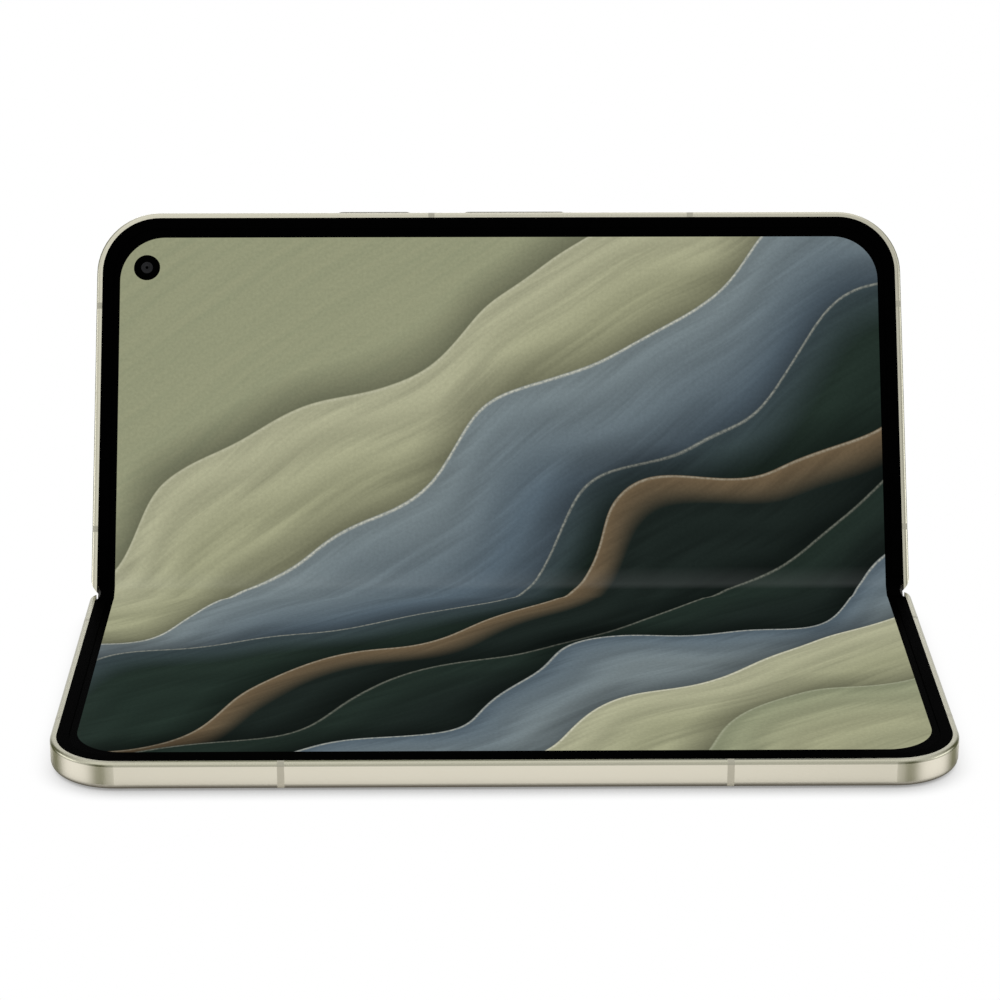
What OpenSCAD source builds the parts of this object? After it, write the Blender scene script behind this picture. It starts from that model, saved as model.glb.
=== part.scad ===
// Book-style folding phone, part open: one half flat, the other leaning back.
// Units are millimetres. Origin: centre of the resting glass. +X along the hinge, +Y away from the user, +Z up.
// Each half is drawn in its own frame: x along the hinge, v away from the seam, w up from its outer face.

/* [Overall size] */
// Length along the hinge
body_w = 155.2; // [140:0.1:170]
// Depth of one half from the seam
half_d = 75.1; // [66:0.1:84]
// Thickness of one half
body_t = 5.1; // [4.8:0.1:6]
// Corner radius of the body outline
corner_r = 12; // [8:0.5:16]
// Corner radius of a half beside the hinge
seam_corner_r = 3.4; // [1.5:0.1:4]
// Angle between the two inner faces
open_angle = 120.94; // [90:0.01:180]
// Gap between the inner faces when closed
closed_gap = 0.3; // [0.2:0.05:0.5]

/* [Frame ring] */
// Thickness of the outer wall of the ring
wall_t = 1.1; // [1:0.05:1.6]
// Total width of the ring with its inner ledge
ledge_w = 2.4; // [1.8:0.1:3]
// Rounding of the edge towards the outer face
outer_edge_r = 1.1; // [0.5:0.1:1.2]
// Rounding of the edge towards the display
inner_edge_r = 0.65; // [0.2:0.05:0.9]
// How far the glass stands proud of the metal edge
glass_proud = 0.15; // [0.1:0.05:0.3]
// Half of the gap between the two halves when flat
seam_clear = 0.05; // [0.03:0.01:0.1]
// Underside height of the mid plate
mid_w = 3.75; // [3.5:0.05:4.0]
// Thickness of the mid plate
mid_t = 0.5; // [0.4:0.05:0.7]
// Start of the cross web behind the hinge bay
web_v = 9.5; // [9:0.1:12]
// Thickness of the cross web
web_t = 0.8; // [0.6:0.1:1.2]
// Thickness of the hinge bay floor
bay_floor_t = 1.0; // [0.8:0.1:1.2]

/* [Glass and display] */
// Thickness of the outer glass
glass_t = 0.5; // [0.4:0.05:0.6]
// Gap between glass and ring
glass_clear = 0.05; // [0.03:0.01:0.1]
// Distance from the seam to the outer glass
glass_v = 4.9; // [4.6:0.1:6]
// Thickness of the panel under the cover glass
cover_oled_t = 0.6; // [0.4:0.1:0.8]
// Thickness of the folding display
display_t = 0.4; // [0.3:0.05:0.5]
// Depth of the display face below the rim
display_drop = 0.2; // [0.15:0.05:0.3]
// Thickness of the backing under the fold
backing_t = 0.1; // [0.08:0.01:0.12]
// Distance from the seam to the rigid part of the display
fold_v = 6.5; // [6:0.1:8]
// Width of the raised bezel strip
bezel_w = 2.1; // [1.5:0.1:3]
// Distance from the seam to the end of the bezel strips
bezel_v = 3.5; // [3:0.1:5]

/* [Spine] */
// Thickness of the spine cover
spine_t = 0.5; // [0.4:0.05:0.6]
// Thickness of the metal lip that hides the spine when flat
lip_t = 0.45; // [0.4:0.05:0.6]
// Gap between the spine cover and the halves
spine_clear = 0.1; // [0.08:0.01:0.2]
// Height of the hinge lines above the outer face
hinge_h = 3.9; // [3.7:0.05:4.1]
// Height of the long edges of the spine cover
cover_edge = 3.4; // [3:0.1:3.5]
// Thickness of the end caps
cap_t = 1.0; // [0.8:0.1:1.5]
// Gap between the end caps and the side walls
cap_clear = 0.25; // [0.15:0.05:0.4]

/* [Hinge modules] */
// Distance of the outer modules from the centre
module_x = 46; // [30:1:60]
// Thickness of the outer cheeks of a module
cheek_t = 1.6; // [1.2:0.1:2]
// Thickness of the middle cheek
mid_cheek_t = 2.4; // [2:0.1:3]
// Width of one arm channel
channel_w = 4.2; // [3:0.1:6]
// Inner radius of the curved rib
rib_r1 = 1.55; // [1.4:0.05:1.6]
// Outer radius of the curved rib
rib_r2 = 2.15; // [2:0.05:2.3]
// How far the rib reaches into each cheek
tenon = 0.7; // [0.5:0.05:0.8]
// Running clearance of the rib in its groove
run_clear = 0.05; // [0.02:0.01:0.08]
// Side clearance between arm and cheeks
side_clear = 0.1; // [0.05:0.01:0.2]
// Thickness of the arm where it passes under the display
arm_t = 0.4; // [0.35:0.05:0.5]
// Height of the arm's underside
arm_w0 = 2.4; // [2.3:0.05:2.5]
// Width of the arm's foot
foot_w = 12; // [10:0.5:14]
// Length of the arm's foot
foot_d = 4.2; // [4:0.1:4.4]
// Height of the foot's top face
foot_top = 2.9; // [2.6:0.1:3]
// Spacing of the two screws in a foot
screw_pitch = 8; // [6:0.5:9]
// Thread radius of a screw
screw_r = 0.6; // [0.5:0.05:0.7]
// Head radius of a screw
head_r = 1.0; // [0.9:0.05:1.2]
// Head height of a screw
head_t = 0.35; // [0.3:0.05:0.4]
// Thread depth in the hinge bay floor
thread_d = 0.7; // [0.5:0.1:0.8]

/* [Synchronising gears] */
// Tooth module
gear_m = 0.1; // [0.08:0.01:0.12]
// Teeth of a pinion
pinion_z = 14; // [12:1:16]
// Teeth a full sector gear would have
sector_z = 21; // [18:1:24]
// Width of one sector
sector_w = 3.4; // [2:0.1:4]
// Distance of a sector from the middle of its module
sector_x = 2.2; // [1.9:0.1:3]
// Half length of the gear chamber
chamber_w = 4.6; // [4.2:0.1:6]
// Radius of a pinion's journals
journal_r = 0.35; // [0.3:0.01:0.4]
// Running clearance of a journal
journal_clear = 0.03; // [0.01:0.01:0.05]

/* [Buttons and tray] */
// Middle of the power button along the hinge
power_x = -24.2; // [-40:0.1:0]
// Length of the power button
power_l = 13.9; // [10:0.1:18]
// Middle of the volume rocker along the hinge
volume_x = 3.0; // [-10:0.1:20]
// Length of the volume rocker
volume_l = 19.4; // [15:0.1:25]
// Height of the button caps
key_h = 1.8; // [1.4:0.1:2.2]
// How far the buttons stand out of the ring
key_out = 0.5; // [0.2:0.05:0.6]
// Gap round a button
key_clear = 0.1; // [0.05:0.01:0.15]
// Travel of the power button
key_travel = 0.25; // [0.15:0.05:0.3]
// Height of the buttons and the tray above the outer face
key_w = 2.45; // [2:0.05:3]
// Distance of the tray from the seam
tray_v = 40; // [30:1:50]
// Width of the tray's outer plate
tray_plate = 13.2; // [12:0.1:16]
// Length of the tray behind its plate
tray_l = 19; // [16:0.5:24]
// Width of the tray behind its plate
tray_w = 11.4; // [11:0.1:13]
// Thickness of the tray
tray_t = 0.9; // [0.8:0.05:1.1]

/* [Cameras] */
// Length of the camera deck across the half
deck_l = 43; // [36:0.5:50]
// Width of the camera deck along the hinge
deck_w = 33; // [28:0.5:40]
// Corner radius of the camera deck
deck_r = 8.5; // [5:0.5:12]
// How far the camera deck stands out of the back
deck_h = 2.2; // [1.5:0.1:3]
// Distance of the deck's middle from the side
deck_side = 23.6; // [19:0.1:30]
// Distance of the deck's middle from the outer edge
deck_edge = 28.6; // [24:0.1:34]
// Length of one window pill
pill_l = 36; // [30:0.5:40]
// Width of one window pill
pill_w = 12.4; // [10:0.1:14]
// Distance between the two pills
pill_pitch = 15; // [13.5:0.1:17]
// Distance of the inner camera from the side
selfie_side = 9.6; // [6:0.1:14]
// Distance of the inner camera from the outer edge
selfie_edge = 10.9; // [6:0.1:14]
// Radius of the dark disc round the inner camera
selfie_r = 2.5; // [1.5:0.1:3]

/* [Hidden] */
$fn = 48;
tilt = (180 - open_angle) / 2;
axis_v = body_t - hinge_h + closed_gap / 2;
spine_r = hinge_h - lip_t - glass_proud - spine_clear;
cavity_r = spine_r + spine_clear;
trough_r = spine_r - spine_t;
face_mid_v = (glass_v + half_d - wall_t) / 2;
side_x = body_w / 2;
display_w1 = body_t - display_drop;
display_w0 = display_w1 - display_t;
backing_w0 = display_w0 - backing_t;
spine_x = side_x - wall_t - cap_clear;
block_top = backing_w0 - 0.1;
block_w = 2 * cheek_t + 2 * channel_w + mid_cheek_t;
arm_off = (mid_cheek_t + channel_w) / 2;
arm_w1 = arm_w0 + arm_t;
notch_w = arm_w0 - 0.1;
groove_d = tenon + side_clear;
bay_top = glass_t + 0.1 + bay_floor_t;
foot_v = 5.0;
pinion_r = gear_m * pinion_z / 2;
sector_r = gear_m * sector_z / 2;
pinion_dz = sqrt(pow(sector_r + pinion_r, 2) - pow(axis_v - pinion_r, 2));
pinion_h = hinge_h - pinion_dz;
contact = atan2(pinion_dz, axis_v - pinion_r);
pinion_step = 360 / pinion_z;
sector_step = 360 / sector_z;
gear_ratio = sector_z / pinion_z;
bay_x = side_x - ledge_w;
bay_v0 = web_v + web_t;
bay_v1 = half_d - ledge_w;
cell_v0 = bay_v0 + 2.2;
cell_d = bay_v1 - 3.2 - cell_v0;
cell_v = cell_v0 + cell_d / 2;
corner_part_v = bay_v0 + 9.7;
earpiece_x = bay_x - 4.2;
motor_x = bay_x - 14.2;
base_board_x = bay_x - 12.7;
base_cell_margin = 29.2;
deck_x = deck_side - side_x;
deck_v = half_d - deck_edge;
lid_board_x = deck_x + 26;
top_board_v = bay_v0 + 7.2;
lid_cell_x0 = deck_x + 35;
lid_cell_x1 = bay_x - 28.2;
lid_cell_x = (lid_cell_x0 + lid_cell_x1) / 2;
slot_pitch = (body_w - 11.2) / 24;
side_strips = [13, half_d - 18.5];
base_edge_strips = [39.9 - side_x, side_x - 39.9];
lid_edge_strips = [-13.1, side_x - 40.6];
strip_w = 1.2;
ring_start = 5.2;
backlash = 0.02;
tip_rise = 0.9;
root_drop = 1.15;
hub_r = 0.5;
pocket_d = 1.5;
pivot_d = 1.95;
pivot_r = 0.4;
usb_l = 8.34;
usb_h = 2.56;
usb_wall = 0.17;
usb_v = half_d / 2;
usb_w = 2.25;
deck_edge_r = 0.8;
window_t = 0.6;
ring_t = 0.5;
wide_r = 4.6;
ultrawide_r = 3.9;
tele_r = 4.2;
flash_r = 2.2;
coil_t = 0.35;
coil_r = 20.5;
coil_step = 1.8;
speaker_x = bay_x - 11.3;
speaker_v = usb_v + 17.45;
speaker_l = 20;
vent_pitch = 3.4;
mic_v = usb_v - 9.5;
top_slot_v = usb_v + 3.45;
board_t = 0.7;

// ---- placing: the three frames ----

module at_base() {
    translate([0, face_mid_v, 0]) rotate([0, 0, 180]) children();
}

module at_spine() {
    translate([0, face_mid_v - axis_v, hinge_h])
        rotate([tilt, 0, 0])
            translate([0, axis_v, -hinge_h])
                children();
}

module at_lid() {
    at_spine()
        translate([0, axis_v, hinge_h])
            rotate([tilt, 0, 0])
                translate([0, -axis_v, -hinge_h])
                    children();
}

// Draws a profile given in (v, w) along the hinge, w long and centred on x.
module along(w, x = 0) {
    translate([x - w / 2, 0, 0]) rotate([90, 0, 90]) linear_extrude(w) children();
}

// ---- shared shapes ----

module slab(x, v, w0, size_x, size_v, t) {
    translate([x - size_x / 2, v - size_v / 2, w0]) cube([size_x, size_v, t]);
}

module round_rect(size_x, size_v, r) {
    square([size_x - 2 * r, size_v], center = true);
    square([size_x, size_v - 2 * r], center = true);
    for (sx = [-1, 1], sv = [-1, 1])
        translate([sx * (size_x / 2 - r), sv * (size_v / 2 - r)]) circle(r);
}

// Plan of a half, held in by inset from its outer edges and starting at v0.
module half_plan(inset, v0) {
    translate([-side_x + inset, v0]) square([body_w - 2 * inset, half_d - corner_r - v0]);
    translate([-side_x + corner_r, v0]) square([body_w - 2 * corner_r, half_d - inset - v0]);
    for (s = [-1, 1])
        translate([s * (side_x - corner_r), half_d - corner_r]) circle(corner_r - inset);
}

module half_plate(inset, v0, w0, t) {
    translate([0, 0, w0]) linear_extrude(t) half_plan(inset, v0);
}

// Sweeps a profile (p is 0 at the outer surface and negative inwards) round the three outer sides.
module sweep_ring(v0) {
    len_v = half_d - corner_r - v0;
    translate([0, half_d - corner_r, 0]) rotate([90, 0, 0]) linear_extrude(len_v) translate([side_x, 0]) children();
    translate([0, v0, 0]) rotate([90, 0, 180]) linear_extrude(len_v) translate([side_x, 0]) children();
    translate([-side_x + corner_r, half_d, 0]) rotate([90, 0, 90]) linear_extrude(body_w - 2 * corner_r) children();
    for (s = [0, 1])
        translate([(1 - 2 * s) * (side_x - corner_r), half_d - corner_r, 0])
            rotate([0, 0, 90 * s])
                rotate_extrude(angle = 90) translate([corner_r, 0]) children();
}

module wall_profile() {
    difference() {
        translate([-wall_t, glass_proud]) square([wall_t, body_t - glass_proud]);
        translate([-outer_edge_r, glass_proud]) square([outer_edge_r + 1, outer_edge_r]);
        translate([-inner_edge_r, body_t - inner_edge_r]) square([inner_edge_r + 1, inner_edge_r]);
    }
    translate([-outer_edge_r, glass_proud + outer_edge_r])
        intersection() {
            circle(outer_edge_r);
            translate([0, -outer_edge_r]) square([outer_edge_r, outer_edge_r]);
        }
    translate([-inner_edge_r, body_t - inner_edge_r])
        intersection() {
            circle(inner_edge_r);
            square([inner_edge_r, inner_edge_r]);
        }
}

module ledge_profile() {
    translate([-ledge_w, glass_t + 0.1]) square([ledge_w - wall_t, mid_w + mid_t - glass_t - 0.1]);
}

// Cuts the seam end of a half so that it clears the other half while both turn.
module seam_relief() {
    along(body_w + 2)
        difference() {
            translate([-1, hinge_h]) square([axis_v + 1, body_t]);
            translate([axis_v, hinge_h]) circle(axis_v - seam_clear);
        }
}

// Rounds the two corners of a half beside the hinge, seen from above.
module seam_corners() {
    for (s = [-1, 1])
        translate([s * (side_x - seam_corner_r), seam_corner_r, -1])
            linear_extrude(body_t + 2)
                difference() {
                    translate([s > 0 ? 0 : -seam_corner_r - 1, -seam_corner_r - 1])
                        square([seam_corner_r + 1, seam_corner_r + 1]);
                    circle(seam_corner_r);
                }
}

module spine_cavity() {
    along(2 * (side_x - wall_t)) {
        translate([axis_v, hinge_h]) circle(cavity_r);
        translate([-1, hinge_h - cavity_r]) square([axis_v + 1, body_t]);
    }
}

module hinge_rail() {
    difference() {
        along(2 * (side_x - wall_t) + 0.2) {
            translate([seam_clear, glass_proud]) square([glass_v - glass_clear - seam_clear, bay_top - glass_proud]);
            translate([seam_clear, glass_t + 0.1]) square([web_v + web_t - seam_clear, bay_floor_t]);
        }
        spine_cavity();
    }
}

module strip_profile_at_side(s, v) {
    if (s > 0)
        translate([0, v + strip_w / 2, 0])
            rotate([90, 0, 0]) linear_extrude(strip_w) translate([side_x, 0]) wall_profile();
    else
        translate([0, v - strip_w / 2, 0])
            rotate([90, 0, 180]) linear_extrude(strip_w) translate([side_x, 0]) wall_profile();
}

module antenna_strips(edge_x) {
    for (s = [-1, 1], v = side_strips)
        strip_profile_at_side(s, v);
    for (x = edge_x)
        translate([x - strip_w / 2, half_d, 0]) rotate([90, 0, 90]) linear_extrude(strip_w) wall_profile();
}

module ring_frame(edge_x) {
    difference() {
        union() {
            sweep_ring(seam_clear) wall_profile();
            sweep_ring(ring_start) ledge_profile();
            half_plate(wall_t, web_v, mid_w, mid_t);
            along(2 * (side_x - wall_t) + 0.2)
                translate([web_v, glass_t + 0.1]) square([web_t, mid_w + mid_t - glass_t - 0.1]);
            hinge_rail();
        }
        seam_relief();
        seam_corners();
        antenna_cuts(edge_x);
        arm_screw_holes();
    }
}

module antenna_cuts(edge_x) {
    for (s = [-1, 1], v = side_strips)
        translate([s * side_x - (s > 0 ? wall_t : 1), v - strip_w / 2, 0]) cube([wall_t + 1, strip_w, body_t + 1]);
    for (x = edge_x)
        translate([x - strip_w / 2, half_d - wall_t, 0]) cube([strip_w, wall_t + 1, body_t + 1]);
}

// ---- hinge parts shared by both halves ----

module foot_screw_places() {
    for (x = [-module_x + arm_off, sector_x, module_x + arm_off], s = [-1, 1])
        translate([x + s * screw_pitch / 2, foot_v + foot_d / 2, 0]) children();
}

module arm_screw_holes() {
    foot_screw_places() translate([0, 0, bay_top - thread_d]) cylinder(r = screw_r, h = thread_d + 1);
}

module arm_screws() {
    foot_screw_places() {
        translate([0, 0, bay_top - thread_d]) cylinder(r = screw_r, h = foot_top - bay_top + thread_d);
        difference() {
            translate([0, 0, foot_top]) cylinder(r = head_r, h = head_t);
            translate([0, 0, foot_top + head_t / 2]) cylinder(r = head_r / 2, h = head_t, $fn = 6);
        }
    }
}

module arm_foot(x, neck_v) {
    difference() {
        union() {
            translate([x - foot_w / 2, foot_v, bay_top]) cube([foot_w, foot_d, foot_top - bay_top]);
            translate([x - channel_w / 2 + side_clear, neck_v, arm_w0])
                cube([channel_w - 2 * side_clear, foot_v - neck_v + 0.2, arm_t]);
        }
        foot_screw_places() translate([0, 0, bay_top - 1]) cylinder(r = screw_r + 0.02, h = foot_top);
    }
}

// A bent bar round the hinge line of a half, from angle a0 to a1.
module arc_bar(r1, r2, a0, a1, w, x) {
    translate([x - w / 2, axis_v, hinge_h])
        rotate([90, 0, 90]) rotate([0, 0, a0]) rotate_extrude(angle = a1 - a0)
            translate([r1, 0]) square([r2 - r1, w]);
}

module hinge_arm(x) {
    arc_bar(rib_r1, rib_r2, 210, 315, channel_w + 2 * tenon, x);
    arm_foot(x, axis_v + rib_r1 * cos(45));
}

function involute(rb, a) = [rb * (cos(a) + a * PI / 180 * sin(a)), rb * (sin(a) - a * PI / 180 * cos(a))];
function involute_angle(rb, r) = sqrt(pow(r / rb, 2) - 1) * 180 / PI;
function turned(p, a) = [p[0] * cos(a) - p[1] * sin(a), p[0] * sin(a) + p[1] * cos(a)];

// One tooth pointing along +x, thinned by the backlash.
module tooth(z, backlash) {
    rp = gear_m * z / 2;
    rb = rp * cos(20);
    ro = rp + tip_rise * gear_m;
    rr = rp - root_drop * gear_m;
    ap = involute_angle(rb, rp);
    half_angle = 90 / z - backlash / rp * 180 / PI / 2 + atan2(involute(rb, ap)[1], involute(rb, ap)[0]);
    ao = involute_angle(rb, ro);
    flank = [for (i = [0 : 3]) turned(involute(rb, ao * i / 3), -half_angle)];
    polygon(concat(
        [turned([rr - 0.05, 0], -half_angle)],
        flank,
        [for (i = [3 : -1 : 0]) [flank[i][0], -flank[i][1]]],
        [turned([rr - 0.05, 0], half_angle)]));
}

module pinion_profile() {
    circle(pinion_r - root_drop * gear_m);
    for (k = [0 : pinion_z - 1])
        rotate(k * pinion_step) tooth(pinion_z, backlash);
}

module wedge(a0, a1) {
    polygon(concat([[0, 0]], [for (i = [0 : 4]) turned([2 * rib_r2, 0], a0 + (a1 - a0) * i / 4)]));
}

module arc_profile(r1, r2, a0, a1) {
    intersection() {
        difference() {
            circle(r2);
            circle(r1);
        }
        wedge(a0, a1);
    }
}

// Toothed sector round the hinge line of a half, its teeth moved on by shift of one tooth.
module sector_profile(shift) {
    root_r = sector_r - root_drop * gear_m;
    arc_profile(hub_r, root_r, 150, 300);
    arc_profile(root_r - 0.1, rib_r2, 283, 300);
    for (k = [-5 : 0])
        rotate(180 + contact + (k + shift) * sector_step) tooth(sector_z, backlash);
}

module sync_arm(x, shift) {
    along(sector_w, x) translate([axis_v, hinge_h]) sector_profile(shift);
    arm_foot(x, axis_v + hub_r);
}

// ---- base half ----

module base_frame() {
    color([0.83, 0.79, 0.71])
        at_base()
            difference() {
                ring_frame(base_edge_strips);
                translate([-side_x - 1, tray_v - tray_plate / 2 - key_clear, key_w - key_h / 2 - key_clear])
                    cube([1 + wall_t, tray_plate + 2 * key_clear, key_h + 2 * key_clear]);
                slab(-side_x + wall_t, tray_v, key_w - tray_t / 2 - key_clear,
                    2 * ledge_w, tray_w + 2 * key_clear, tray_t + 2 * key_clear);
            }
}

module base_antenna_strips() {
    color([0.66, 0.63, 0.56]) at_base() antenna_strips(base_edge_strips);
}

module cover_glass() {
    color([0.05, 0.05, 0.06, 0.6]) at_base() half_plate(wall_t + glass_clear, glass_v, 0, glass_t);
}

module cover_oled() {
    color([0.02, 0.02, 0.03])
        at_base()
            difference() {
                half_plate(ledge_w + 0.3, web_v + web_t + 0.3, glass_t, cover_oled_t);
                cover_camera_place() cylinder(r = 2.1, h = 3, center = true);
            }
}

module cover_camera_place() {
    translate([side_x - 8.5, half_d / 2 + 2.5, 0]) children();
}

module cover_camera() {
    color([0.08, 0.08, 0.1])
        at_base()
            cover_camera_place() {
                translate([0, 0, glass_t]) cylinder(r = 1.9, h = 1.5);
                translate([-3, -3, glass_t + cover_oled_t + 0.1]) cube([6, 6, mid_w - glass_t - cover_oled_t - 0.1]);
            }
}

module bezel() {
    difference() {
        half_plate(wall_t, bezel_v, display_w1, display_drop);
        half_plate(wall_t + bezel_w, bezel_v - 1, display_w1 - 1, display_drop + 2);
    }
}

module base_bezel() {
    color([0.03, 0.03, 0.03]) at_base() bezel();
}

module base_display() {
    color([0.25, 0.29, 0.27]) at_base() half_plate(wall_t + 0.05, fold_v, display_w0, display_t);
}

module support_plate() {
    difference() {
        half_plate(wall_t + 0.1, fold_v, mid_w + mid_t, display_w0 - mid_w - mid_t);
        for (i = [0 : 23], j = [0 : 1])
            slab(slot_pitch * (i - 11.5 + j / 2), fold_v + 0.8 + j * 1.2, mid_w, slot_pitch - 1.4, 0.5, 2);
    }
}

module base_support_plate() {
    color([0.6, 0.6, 0.6]) at_base() support_plate();
}

module base_battery() {
    color([0.15, 0.15, 0.16])
        at_base()
            slab(2, cell_v, glass_t + cover_oled_t + 0.3,
                2 * (bay_x - base_cell_margin), cell_d, mid_w - glass_t - cover_oled_t - 0.3);
}

module base_board() {
    color([0.1, 0.3, 0.2])
        at_base()
            difference() {
                slab(base_board_x, cell_v - 1.5, mid_w - 0.8, 22, cell_d - 2, 0.8);
                cover_camera_place() translate([0, 0, 3]) cube([6.4, 6.4, 4], center = true);
                slab(earpiece_x, corner_part_v, 0, 8, 17, 5);
            }
}

module earpiece() {
    color([0.2, 0.2, 0.2])
        at_base()
            difference() {
                slab(earpiece_x, corner_part_v, mid_w - 2.0, 7.6, 15, 2.0);
                slab(earpiece_x, corner_part_v, mid_w - 2.1, 5, 11, 0.3);
            }
}

module magnet_row() {
    for (x = [-12, -4, 4, 12])
        slab(x, half_d - ledge_w - 1.5, mid_w - 1.6, 6, 2, 1.6);
}

module base_magnets() {
    color([0.7, 0.7, 0.72]) at_base() magnet_row();
}

module sim_reader() {
    color([0.75, 0.75, 0.75])
        at_base()
            difference() {
                slab(-side_x + wall_t + 1.35 + tray_l / 2, tray_v, key_w - 0.65, tray_l, tray_w + 0.6, mid_w - key_w + 0.65);
                slab(-side_x + wall_t + tray_l / 2, tray_v, key_w - tray_t / 2 - key_clear / 2, tray_l + 2.5,
                    tray_w + key_clear, tray_t + key_clear);
            }
}

module sim_tray() {
    color([0.83, 0.79, 0.71])
        at_base()
            difference() {
                union() {
                    slab(-side_x + 0.5, tray_v, key_w - key_h / 2, 1.0, tray_plate, key_h);
                    slab(-side_x + 0.9 + tray_l / 2, tray_v, key_w - tray_t / 2, tray_l, tray_w, tray_t);
                }
                slab(-side_x + 10.5, tray_v - 0.6, key_w - tray_t / 2 + 0.25, 12.4, 8.9, tray_t);
                translate([-side_x, tray_v + tray_plate / 2 - 1.8, key_w]) rotate([0, 90, 0])
                    cylinder(r = 0.45, h = 3, center = true);
            }
}

module base_arm_left() {
    color([0.55, 0.55, 0.56]) at_base() hinge_arm(module_x + arm_off);
}

module base_arm_right() {
    color([0.55, 0.55, 0.56]) at_base() hinge_arm(-module_x + arm_off);
}

module base_sync_arm() {
    color([0.55, 0.55, 0.56]) at_base() sync_arm(sector_x, -0.25);
}

module base_arm_screws() {
    color([0.4, 0.4, 0.42]) at_base() arm_screws();
}

// ---- lid half ----

module selfie_place() {
    translate([-side_x + selfie_side, half_d - selfie_edge, 0]) children();
}

module edge_key(x, length, h, v0, v1, r) {
    translate([x, v0, key_w]) rotate([-90, 0, 0]) linear_extrude(v1 - v0) round_rect(length, h, r);
}

module key_pockets() {
    key_slot(power_x, power_l);
    key_slot(volume_x, volume_l);
}

module key_slot(x, length) {
    edge_key(x, length + 2 * key_clear, key_h + 2 * key_clear, half_d - wall_t - 0.1, half_d + 1, key_h / 2 + key_clear - 0.01);
    slab(x, half_d - wall_t - pocket_d / 2, key_w - key_h / 2 - 0.4, length + 1.8, pocket_d, key_h + 0.8);
}

module usb_place() {
    translate([side_x, usb_v, usb_w]) rotate([90, 0, -90]) children();
}

module side_slot(s, v, length, h, w) {
    translate([s * side_x, v, w]) rotate([90, 0, 90]) linear_extrude(2 * ledge_w + 1, center = true)
        round_rect(length, h, h / 2 - 0.01);
}

module lid_frame() {
    color([0.83, 0.79, 0.71])
        at_lid() {
            difference() {
                ring_frame(lid_edge_strips);
                key_pockets();
                usb_place() translate([0, 0, -1]) linear_extrude(9) round_rect(usb_l, usb_h, usb_h / 2 - 0.01);
                translate([side_x - 8.6, usb_v - usb_l / 2 - usb_wall, usb_w - usb_h / 2 - usb_wall])
                    cube([8.6 - wall_t, usb_l + 2 * usb_wall, usb_h + 2 * usb_wall]);
                for (i = [0 : 3])
                    side_slot(1, speaker_v - 5 + vent_pitch * i, 2.3, 0.9, key_w);
                side_slot(1, mic_v, 0.9, 0.9, key_w);
                side_slot(-1, top_slot_v, 9.4, 0.8, key_w);
                side_slot(-1, mic_v, 0.9, 0.9, key_w);
                selfie_place() cylinder(r = selfie_r + 0.05, h = body_t);
            }
            translate([volume_x, half_d - pivot_d, key_w - key_h / 2 - 0.5]) cylinder(r = pivot_r, h = key_h + 1);
        }
}

module lid_antenna_strips() {
    color([0.66, 0.63, 0.56]) at_lid() antenna_strips(lid_edge_strips);
}

module deck_outline(grow) {
    translate([deck_x, deck_v]) round_rect(deck_w + 2 * grow, deck_l + 2 * grow, deck_r + grow);
}

module back_glass() {
    color([0.80, 0.77, 0.70])
        at_lid()
            difference() {
                half_plate(wall_t + glass_clear, glass_v, 0, glass_t);
                translate([0, 0, -1]) linear_extrude(glass_t + 2) deck_outline(glass_clear);
            }
}

// Section of the deck's rim: p is 0 at its outer surface and negative inwards.
module deck_rim_profile() {
    translate([-2 * deck_edge_r, -deck_h]) square([deck_edge_r, glass_t + deck_h]);
    translate([-deck_edge_r, deck_edge_r - deck_h]) square([deck_edge_r, glass_t + deck_h - deck_edge_r]);
    translate([-deck_edge_r, deck_edge_r - deck_h])
        intersection() {
            circle(deck_edge_r);
            translate([0, -deck_edge_r]) square([deck_edge_r, deck_edge_r]);
        }
}

module deck_body() {
    corner_x = deck_w / 2 - deck_r;
    corner_v = deck_l / 2 - deck_r;
    translate([0, 0, -deck_h]) linear_extrude(glass_t + deck_h) deck_outline(-1.5 * deck_edge_r);
    translate([deck_x, deck_v, 0])
        for (q = [0 : 3])
            rotate([0, 0, 90 * q]) {
                along_side = q % 2 == 0 ? corner_v : corner_x;
                to_side = q % 2 == 0 ? deck_w / 2 : deck_l / 2;
                translate([0, along_side, 0]) rotate([90, 0, 0])
                    linear_extrude(2 * along_side) translate([to_side, 0]) deck_rim_profile();
                translate([to_side - deck_r, along_side, 0])
                    rotate_extrude(angle = 90) translate([deck_r, 0]) deck_rim_profile();
            }
}

module pills(grow) {
    for (s = [-1, 1])
        translate([deck_x + s * pill_pitch / 2, deck_v]) round_rect(pill_w + 2 * grow, pill_l + 2 * grow, pill_w / 2 + grow - 0.01);
}

module at_wide() {
    translate([deck_x - pill_pitch / 2, deck_v + 9.6, 0]) children();
}

module at_ultrawide() {
    translate([deck_x - pill_pitch / 2, deck_v - 9.6, 0]) children();
}

module at_tele() {
    translate([deck_x + pill_pitch / 2, deck_v + 9.6, 0]) children();
}

module at_flash() {
    translate([deck_x + pill_pitch / 2, deck_v - 9.6, 0]) children();
}

module lens_bore(r) {
    translate([0, 0, -deck_h]) cylinder(r = r, h = deck_h + 1);
}

module camera_deck() {
    color([0.80, 0.76, 0.68])
        at_lid()
            difference() {
                deck_body();
                translate([0, 0, -deck_h - 1]) linear_extrude(window_t + 1) pills(glass_clear);
                at_wide() lens_bore(wide_r);
                at_ultrawide() lens_bore(ultrawide_r);
                at_tele() lens_bore(tele_r);
                at_flash() lens_bore(flash_r);
            }
}

module camera_windows() {
    color([0.04, 0.04, 0.05, 0.6]) at_lid() translate([0, 0, -deck_h]) linear_extrude(window_t) pills(0);
}

module lens_ring(r) {
    difference() {
        translate([0, 0, -deck_h + window_t]) cylinder(r = r - 0.02, h = ring_t);
        translate([0, 0, -deck_h]) cylinder(r = r - 0.6, h = deck_h);
    }
}

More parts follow.
